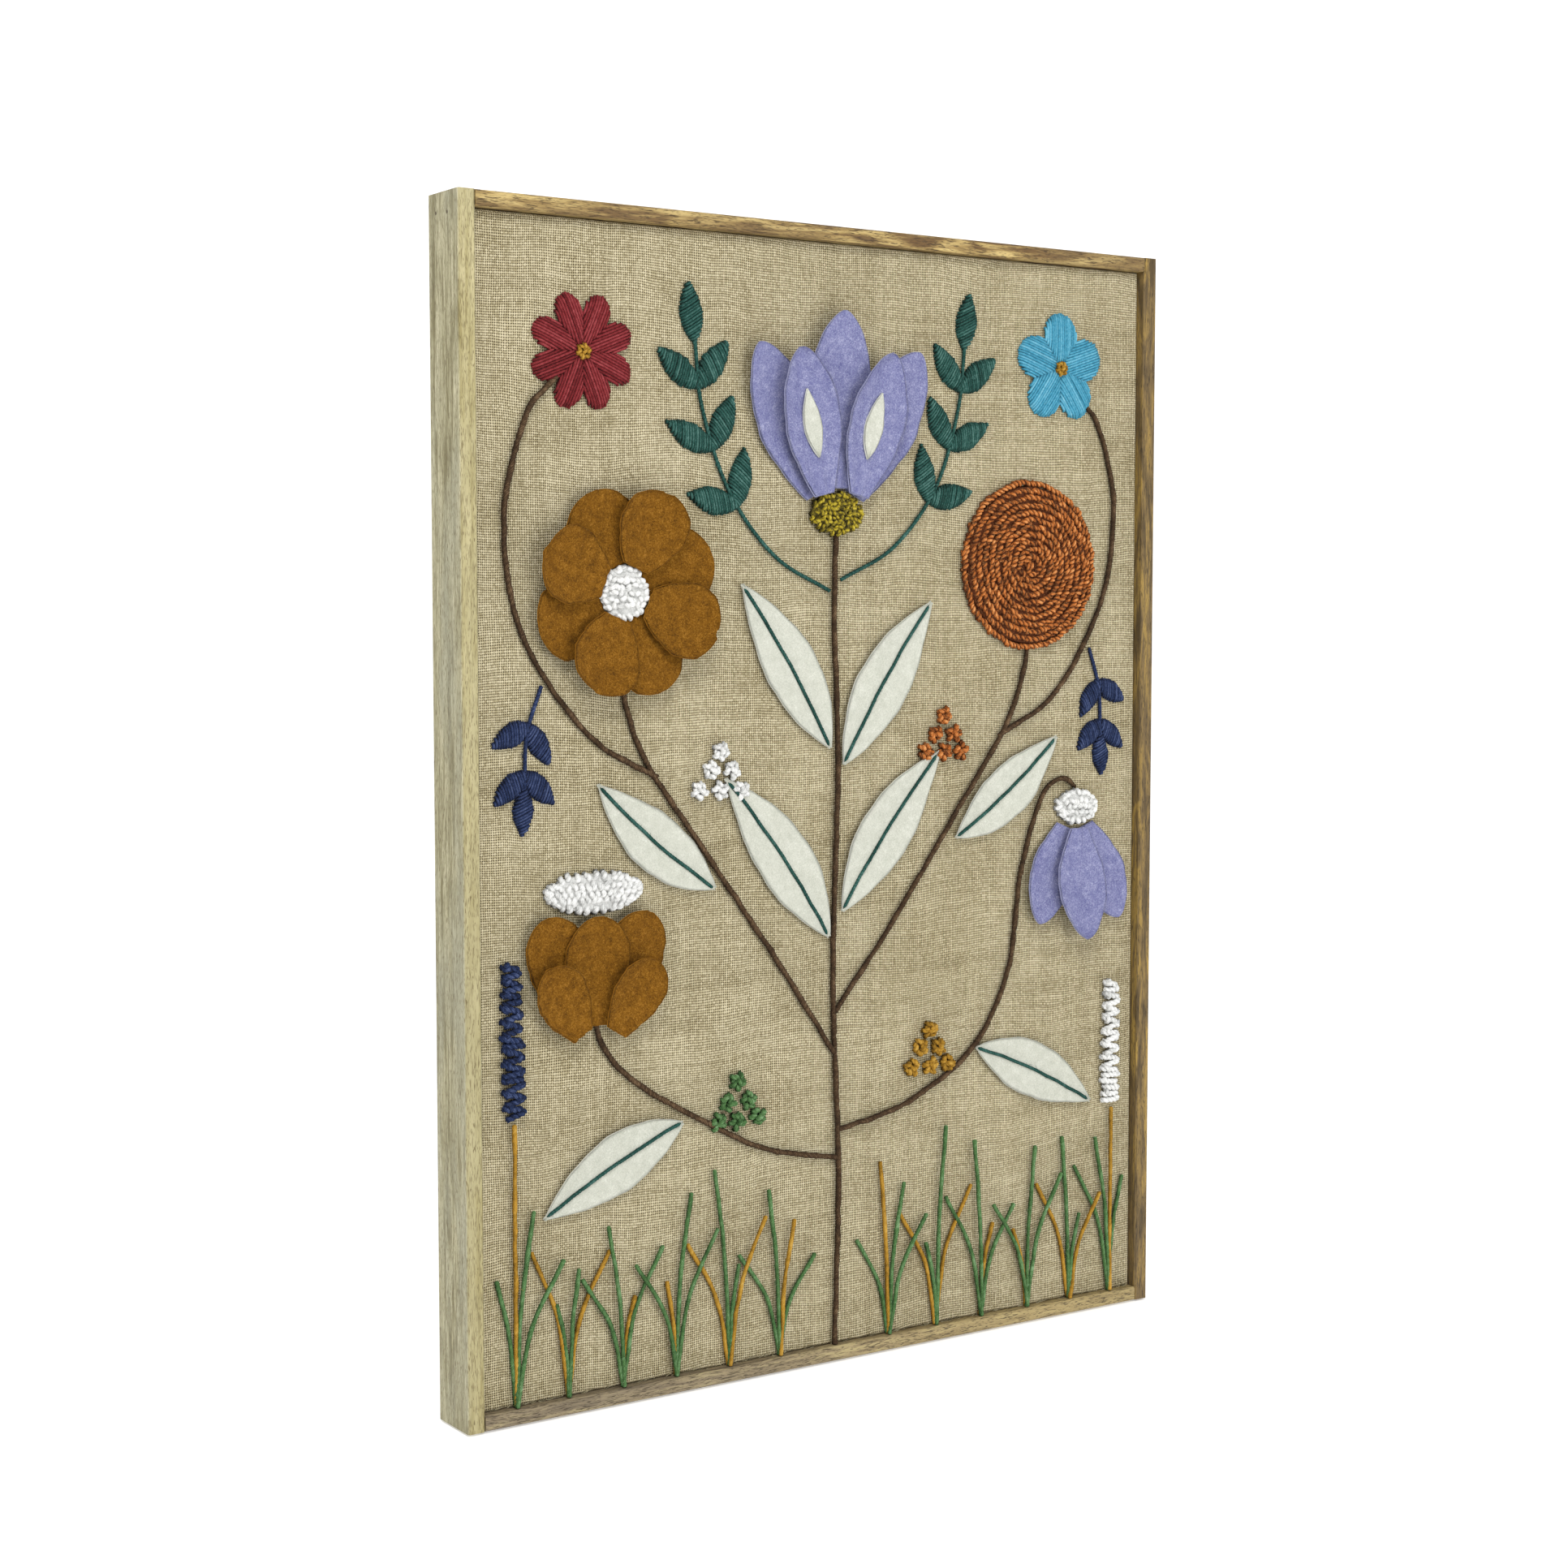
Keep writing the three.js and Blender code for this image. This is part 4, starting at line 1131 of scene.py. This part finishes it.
def laySatinLeaf(yarn, base, angle, length, width, lean):
    angle, slant = radians(angle), radians(lean)
    s = np.linspace(0.03, 0.97, 18)
    s, side = np.concatenate([s, s[::-1]]), np.repeat([1, -1], 18)
    rings = [np.column_stack(placeOn(base, angle, s * length, side * (width / 2 * leafShape(s) * share)))
             for share in (0.93, 0.88, 0.6, 0.1)]
    # painted shade on the pad, dark where it shows between the stitches
    yarn.add(*padForm(rings, [0.1, 1.2, 2.0, 2.3]), 0.3, 0.45)
    tries = np.arange(0, width, 0.15)
    for middle in np.arange(0.8, length - 0.2, satin["pitch"] / cos(slant)):
        ends = []
        for side in (-1, 1):  # each half runs out to the leaf's edge
            along = middle + side * tries * sin(slant)
            inside = np.abs(tries * cos(slant)) < width / 2 * leafShape(np.clip(along / length, 0, 1))
            inside &= (along > 0) & (along < length)
            ends.append(tries[inside][-1] if inside.any() else 0.5)
        reach = np.linspace(-max(0.7, ends[0]), max(0.7, ends[1]), satin["samples"])
        reach = reach * (1 + chance.normal(0, 0.035))
        along = middle + reach * sin(slant) + chance.normal(0, 0.12)
        u, v = placeOn(base, angle, along, reach * cos(slant))
        t = np.linspace(-1, 1, satin["samples"])
        full = min(1, (ends[0] + ends[1]) / 9 + 0.3)
        dome = satin["dome"] + chance.normal(0, 0.18)
        height = 0.25 + dome * full * (1 - t ** 4) ** 0.5 + 0.5 * full * (1 - t * t)
        yarn.lay(np.column_stack([u, v, height]), satin["radius"], chance.uniform(0.2, 0.85))


def sprigLeaves(sprig, line):  # where each leaf starts, its heading in degrees and its side
    heading = np.degrees(np.arctan2(*(np.gradient(line, axis=0).T[::-1])))
    last = len(line) - 1
    places = [(int(pair * last), side) for pair in sprig["pairs"] for side in (-1, 1)]
    leaves = []
    for spot, side in places + [(last, 0)]:  # one leaf ends the sprig
        angle = heading[spot] + side * sprig["splay"]
        leaves.append((polar(line[spot], -1, radians(angle)), angle, side))
    return leaves


def makeSprig(name, sprig):
    stem = YarnMesh(sides=8, lobe=0.2, pitch=sprigStem["pitch"], flank=0.5, uneven=0.06)
    line = smoothPath(sprig["path"], 1.2)
    path = np.column_stack([line, np.full(len(line), sprigStem["height"])])
    stem.lay(path, sprigStem["radius"], softTint(len(line), 0.15))
    leaves = YarnMesh(sides=8, lobe=0.06, pitch=40.0, flank=0.75)
    sprig["leaves"] = sprigLeaves(sprig, line)
    for base, angle, side in sprig["leaves"]:
        lean = (side or 1) * satin["slant"] + chance.normal(0, 3)
        laySatinLeaf(leaves, base, angle, sprig["length"], sprig["width"], lean)
    leaves.make("satin_" + name, sprig["finish"], [name])
    stem.make("stem_" + name, sprig["finish"])
    makeFibres("fibres_" + name, sprig["finish"], (leaves, 9.0, 1.8), (stem, 3.0, 2.0))


for name, sprig in sprigs.items():
    makeSprig(name, sprig)

# star flowers: every petal filled with satin stitches that run out from the middle
stitched = {
    "red_flower": {"foot": (-206, 706), "reach": 40, "lobes": 8, "waist": 0.5, "start": 22,
                   "finish": "redWool"},
    "sky_flower": {"foot": (208, 716), "reach": 41, "lobes": 5, "waist": 0.46, "start": 18,
                   "finish": "skyCotton"},
}


def flowerEdge(flower, turn):
    lobe = np.sqrt(np.abs(np.cos(turn * flower["lobes"] / 2)))
    return flower["reach"] * (flower["waist"] + (1 - flower["waist"]) * lobe)


def laySatinPetal(yarn, flower, middle):
    foot, samples = flower["foot"], satin["samples"]
    widest = flower["reach"] * 0.6
    wedge = tan(pi / flower["lobes"])
    for across in np.arange(-widest, widest + 0.1, satin["pitch"]):
        inner = max(4.5, abs(across) / wedge + 0.4)
        steps = np.arange(inner, flower["reach"] + 1, 0.3)
        fits = steps[np.hypot(steps, across) < flowerEdge(flower, np.arctan2(across, steps))]
        if len(fits) == 0 or fits[-1] - inner < 2:
            continue
        along = np.linspace(inner, fits[-1] + chance.normal(0, 0.35), samples)
        t = np.linspace(-0.9, 1, samples)
        plump = 1 - 0.45 * min(1, (across / widest) ** 2 * 2)
        height = 0.25 + (2.6 * plump + chance.normal(0, 0.18)) * (1 - np.abs(t) ** 3.5) ** 0.5
        u, v = placeOn(foot, middle, along, -across)
        yarn.lay(np.column_stack([u, v, height]), satin["radius"], chance.uniform(0.2, 0.85))


def makeStitchedFlower(name, flower):
    yarn = YarnMesh(sides=8, lobe=0.06, pitch=60.0, flank=0.65)
    foot, start = flower["foot"], radians(flower["start"])
    turn = np.arange(96) * 2 * pi / 96
    edge = flowerEdge(flower, turn - start)
    rings = [np.column_stack(polar(foot, edge * share, turn)) for share in (0.95, 0.92, 0.7, 0.3, 0.05)]
    # painted shade on the pad, dark where it shows between the stitches
    yarn.add(*padForm(rings, [0.1, 1.0, 1.9, 2.0, 2.0]), 0.35, 0.4)
    for lobe in range(flower["lobes"]):
        laySatinPetal(yarn, flower, start + 2 * pi * lobe / flower["lobes"])
    yarn.make("satin_" + name, flower["finish"], [name])
    knot = YarnMesh(sides=12, lobe=0.36, pitch=5.6, flank=0.55)
    for number in range(7):  # six loops round one
        angle = 2 * pi * number / 6
        away, top = (3.6, 4.4) if number < 6 else (0.0, 5.4)
        layLoop(knot, polar(foot, away, angle), angle + 1.1, 4.2, 1.6, top, 1.7)
    knot.make("heart_" + name, "goldWool")


for name, flower in stitched.items():
    makeStitchedFlower(name, flower)
print("satin stitches done")

# grass: tufts of four long stitches, each tuft its foot, then its blades' leans and heights
grass = {
    "grass_left": [
        (-262, (-14, 0, 14, 36), (88, 192, 132, 96)), (-222, (-28, -9, 8, 33), (104, 66, 88, 97)),
        (-179, (-32, -12, 10, 32), (80, 114, 62, 94)), (-136, (-33, -7, 13, 34), (84, 68, 128, 100)),
        (-92, (-34, -12, 8, 30), (92, 142, 72, 104)), (-49, (-34, -10, 12, 31), (78, 122, 98, 70)),
    ],
    "grass_right": [
        (48, (-28, -8, 14, 34), (74, 130, 112, 86)), (92, (-34, -10, 8, 34), (90, 64, 150, 102)),
        (135, (-34, -8, 12, 32), (96, 136, 70, 82)), (180, (-34, -13, 8, 33), (84, 62, 124, 100)),
        (222, (-32, -8, 10, 30), (94, 128, 66, 80)), (263, (-36, -16, 0, 14), (104, 124, 146, 90)),
    ],
}
blades = {"radius": 1.7, "twist": {"sides": 10, "lobe": 0.11, "pitch": 9.0, "flank": 0.6, "uneven": 0.1}}


def bladeCorners(foot, lean, tall, start):
    return [(foot, start), (foot + 0.3 * lean, 0.55 * tall), (foot + lean, tall)]


def makeGrass(name):
    green, gold = YarnMesh(**blades["twist"]), YarnMesh(**blades["twist"])
    for tuft, (foot, leans, heights) in enumerate(grass[name]):
        for blade, (lean, tall) in enumerate(zip(leans, heights)):
            line = strayPath(bladeCorners(foot, lean, tall, 1), 1.2, 10, (0.2, 0.1))
            radius = blades["radius"] * (1 + softNoise(len(line), 7, 0.06))
            over = (blade * 5 + tuft) % 4 * 0.85 + 0.3 * (blade % 2)  # which blade crosses over which
            yarn = gold if (tuft + blade) % 3 == 1 else green
            yarn.lay(np.column_stack([line, radius + 0.1 + over]), radius, softTint(len(line), 0.18))
    green.make("couched_" + name, "greenWool", [name])
    gold.make("couched_gold_" + name, "goldWool")
    makeFibres("fibres_greenWool_" + name, "greenWool", (green, 4.0, 2.2))
    makeFibres("fibres_goldWool_" + name, "goldWool", (gold, 4.0, 2.2))


for name in grass:
    makeGrass(name)
print("stems and grass done")

# loose jute threads: along the cloth's foot, at one corner, and at the raw edge of the hem behind
loose = {"radius": 0.3, "left": -284, "right": 280, "corner": 283}


def layThread(threads, foot, reach):
    t = np.linspace(0, 1, 6)
    curl = chance.normal(0, 0.7, 3)
    bow = np.sin(pi * t)[:, None] * curl[None, :] * [1, 0.8, 0.4]
    threads.lay(np.array(foot) + np.outer(t, reach) + bow, loose["radius"], chance.uniform(0.4, 0.9))


# each of these gives one thread's place and reach
def footThread(number):
    u, size = chance.uniform(loose["left"], loose["right"]), chance.uniform(3, 9)
    return (u, 0.55, chance.uniform(-0.4, 0.3)), (size, chance.uniform(-0.1, 1.6), chance.uniform(0, 0.7))


def cornerThread(number):
    foot = (loose["corner"] - number * 1.3, 1.2 + chance.uniform(0, 5), 0.2)
    return foot, (chance.uniform(-9, 1), chance.uniform(-0.6, 4), chance.uniform(0.8, 4))


def hemThread(number):
    inset = cloth["hem"] + cloth["thick"] - 0.6
    half, low, high = cloth["half"] - inset, cloth["foot"] + inset, cloth["head"] - inset
    share = chance.uniform(0, 4)
    size, skew = chance.uniform(2, 9), chance.normal(0, 2.5)
    along = share % 1 * 2 - 1
    height = (low + high) / 2 + along * (high - low) / 2
    edges = [((along * half, low), (skew, size)), ((along * half, high), (skew, -size)),
             ((-half, height), (size, skew)), ((half, height), (-size, skew))]
    (u, v), (du, dv) = edges[int(share)]
    return (u, v, 0.5 - cloth["depth"]), (du, dv, -chance.uniform(0, 1.2))


def makeLooseThreads():
    threads = YarnMesh(sides=4, lobe=0.1, pitch=3.0, flank=0.3)
    for place, count in ((footThread, 90), (cornerThread, 9), (hemThread, 300)):
        for number in range(count):
            layThread(threads, *place(number))
    threads.make("loose_jute_threads", "juteThread")


makeLooseThreads()

# the wrong side of the cloth: short flat stitches behind the tufts, satin and couching
behind = {"tuft": 1.1, "stitch": 1.0, "satin": 0.95, "couch": 0.55, "couchEvery": 9, "couchReach": 2.0}
backs = {}


def backYarn(finish):
    return backs.setdefault(finish, YarnMesh(sides=6, lobe=0.1, pitch=6.0, flank=0.4))


def underCloth(u, v):
    return -cloth["thick"] - clothSag(u, v)


def layBehind(yarn, start, end, thick):  # a flat stitch on the back, just under the cloth
    t = np.linspace(0, 1, 4)
    u, v = start[0] + (end[0] - start[0]) * t, start[1] + (end[1] - start[1]) * t
    drop = thick * np.array([0.2, 0.95, 0.95, 0.2])
    yarn.lay(np.column_stack([u, v, underCloth(u, v) - drop]), thick, chance.uniform(0.3, 0.7))


def layCouching(yarn, path):  # small cross stitches that hold the couched yarn
    line = smoothPath(path, 1.0)
    reach = behind["couchReach"]
    for i in range(5, len(line) - 2, behind["couchEvery"]):
        du, dv = (line[i + 1] - line[i]) / (hypot(*(line[i + 1] - line[i])) + 1e-6)
        start = (line[i][0] - dv * reach, line[i][1] + du * reach)
        end = (line[i][0] + dv * reach + du * 3, line[i][1] - du * reach + dv * 3)
        layBehind(yarn, start, end, behind["couch"])


def backMound(mound):
    yarn = backYarn(mound["finish"])
    rx, ry = mound["radius"][0] - 3, mound["radius"][1] - 3
    for ring in range(int(min(rx, ry) / mound["ring"])):
        away = 1 - ring * mound["ring"] / min(rx, ry)
        count = max(3, round(2 * pi * sqrt((rx * rx + ry * ry) / 2) * away / (mound["gap"] * 1.1)))
        for number in range(count):
            ends = [(mound["foot"][0] + rx * away * cos(angle), mound["foot"][1] + ry * away * sin(angle))
                    for angle in (2 * pi * number / count, 2 * pi * (number + 0.92) / count)]
            layBehind(yarn, *ends, behind["tuft"])


def backFlower(flower, stitches=56):
    for number in range(stitches):
        angle = 2 * pi * number / stitches
        reach = flowerEdge(flower, angle - radians(flower["start"])) - 2
        ends = [polar(flower["foot"], away, angle) for away in (6 + 4 * (number % 2), reach)]
        layBehind(backYarn(flower["finish"]), *ends, behind["stitch"])


def backBunch(bunch):
    for middle in berryPlaces(bunch):
        for number in range(3):
            angle = chance.uniform(0, pi)
            ends = polar(middle, -4, angle), polar(middle, 4, angle)
            layBehind(backYarn(bunch["finish"]), *ends, behind["stitch"])


def backSpike(spike, step=2.6):
    base, angle = spike["base"], radians(spike["angle"])
    for number in range(int(spike["length"] / step)):
        along = number * step + 1.5
        ends = placeOn(base, angle, along, -6.5), placeOn(base, angle, along + 1.5, 6.5)
        layBehind(backYarn(spike["finish"]), *ends, behind["stitch"])


def backSprig(sprig):
    yarn = backYarn(sprig["finish"])
    layCouching(yarn, sprig["path"])
    for base, angle, side in sprig["leaves"]:
        for along in np.arange(2, sprig["length"] - 1, 2.1):
            half = sprig["width"] / 2 * float(leafShape(along / sprig["length"])) - 0.6
            ends = placeOn(base, radians(angle), along, -half), placeOn(base, radians(angle), along + 1, half)
            layBehind(yarn, *ends, behind["satin"])


def layTail(yarn):  # a cut end of yarn that hangs loose
    u, v = yarn.lines[chance.integers(0, len(yarn.lines))][0][-1][:2]
    t = np.linspace(0, 1, 16)
    heading = chance.uniform(0, 2 * pi)
    reach = chance.uniform(14, 24)
    tail = [u + reach * t * cos(heading) + 3 * np.sin(t * 5), v + reach * t * sin(heading) - 6 * t * t,
            underCloth(u, v) - 1.2 - 1.4 * np.sin(pi * t * 0.9)]
    yarn.lay(np.column_stack(tail), behind["stitch"], 0.6)


for makeBack, rows in ((backMound, mounds), (backFlower, stitched), (backBunch, bunches), (backSpike, spikes),
                       (backSprig, sprigs)):
    for row in rows.values():
        makeBack(row)
for path in stems["paths"]:
    layCouching(backYarn("brownWool"), path)
for tufts in grass.values():
    for foot, leans, heights in tufts:
        for lean, tall in zip(leans, heights):
            layCouching(backYarn("greenWool"), bladeCorners(foot, lean, tall, 30))
for finish, yarn in backs.items():
    layTail(yarn)
    layTail(yarn)
    yarn.make("wrong_side_" + finish, finish)
print("loose threads and wrong side done")

# studio: pale floor and backdrop, large soft lights
studio = {"floor": -0.8112, "world": 0.6, "glow": 0.36, "near": -6.0, "bend": 3.0, "curve": 1.5, "top": 7.0,
          "half": 9.0, "turn": -34, "aim": (0, 0, -0.4)}
lamps = {
    "key": {"place": (-1.3, -1.9, 1.9), "size": 0.9, "power": 49},
    "fill": {"place": (0.5, -2.1, -0.7), "size": 1.4, "power": 21},
}


def makeSweep():  # floor and backdrop in one curved sheet of paper
    f = Finish("studioPaper")
    tone = f.mix(f.noise(f.where(), 3.0), (0.90, 0.90, 0.90), (0.93, 0.93, 0.93))
    paper = f.set(Base_Color=tone, Roughness=0.9, Emission_Color=(1, 1, 1), Emission_Strength=studio["glow"])
    floor, bend, curve = studio["floor"], studio["bend"], studio["curve"]
    turns = np.radians(np.linspace(0, 90, 14))
    rise = [(bend + curve * sin(a), floor + curve * (1 - cos(a))) for a in turns]
    profile = [(studio["near"], floor), *rise, (bend + curve, studio["top"])]
    points = [(x, y, z) for y, z in profile for x in (-studio["half"], studio["half"])]
    faces = [(2 * i, 2 * i + 1, 2 * i + 3, 2 * i + 2) for i in range(len(profile) - 1)]
    mesh = bpy.data.meshes.new("studio_sweep")
    mesh.from_pydata(points, [], faces)
    mesh.polygons.foreach_set("use_smooth", np.ones(len(faces), bool))
    mesh.materials.append(paper)
    sweep = bpy.data.objects.new("studio_sweep", mesh)
    sweep.rotation_euler = (0, 0, radians(studio["turn"]))
    bpy.context.scene.collection.objects.link(sweep)
    sweep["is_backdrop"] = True


def addLamp(name, lamp):
    data = bpy.data.lights.new(name, "AREA")
    data.size = lamp["size"]
    data.energy = lamp["power"]
    light = bpy.data.objects.new(name, data)
    light.location = lamp["place"]
    light.visible_camera = False
    aim = Vector(studio["aim"]) - Vector(lamp["place"])
    light.rotation_euler = aim.to_track_quat("-Z", "Y").to_euler()
    bpy.context.scene.collection.objects.link(light)


def makeSky():
    world = bpy.data.worlds.new("studio")
    world.use_nodes = True
    background = world.node_tree.nodes["Background"]
    background.inputs["Color"].default_value = (1, 1, 1, 1)
    background.inputs["Strength"].default_value = studio["world"]
    bpy.context.scene.world = world


makeSweep()
makeSky()
for name, lamp in lamps.items():
    addLamp(name, lamp)
bpy.context.scene.view_settings.view_transform = "Standard"
bpy.context.scene.view_settings.look = "None"
print("studio done")

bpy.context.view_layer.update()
facets = [sum(len(p.vertices) - 2 for p in piece.data.polygons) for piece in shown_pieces()]
print("triangles in all", sum(facets), "in the largest piece", max(facets))
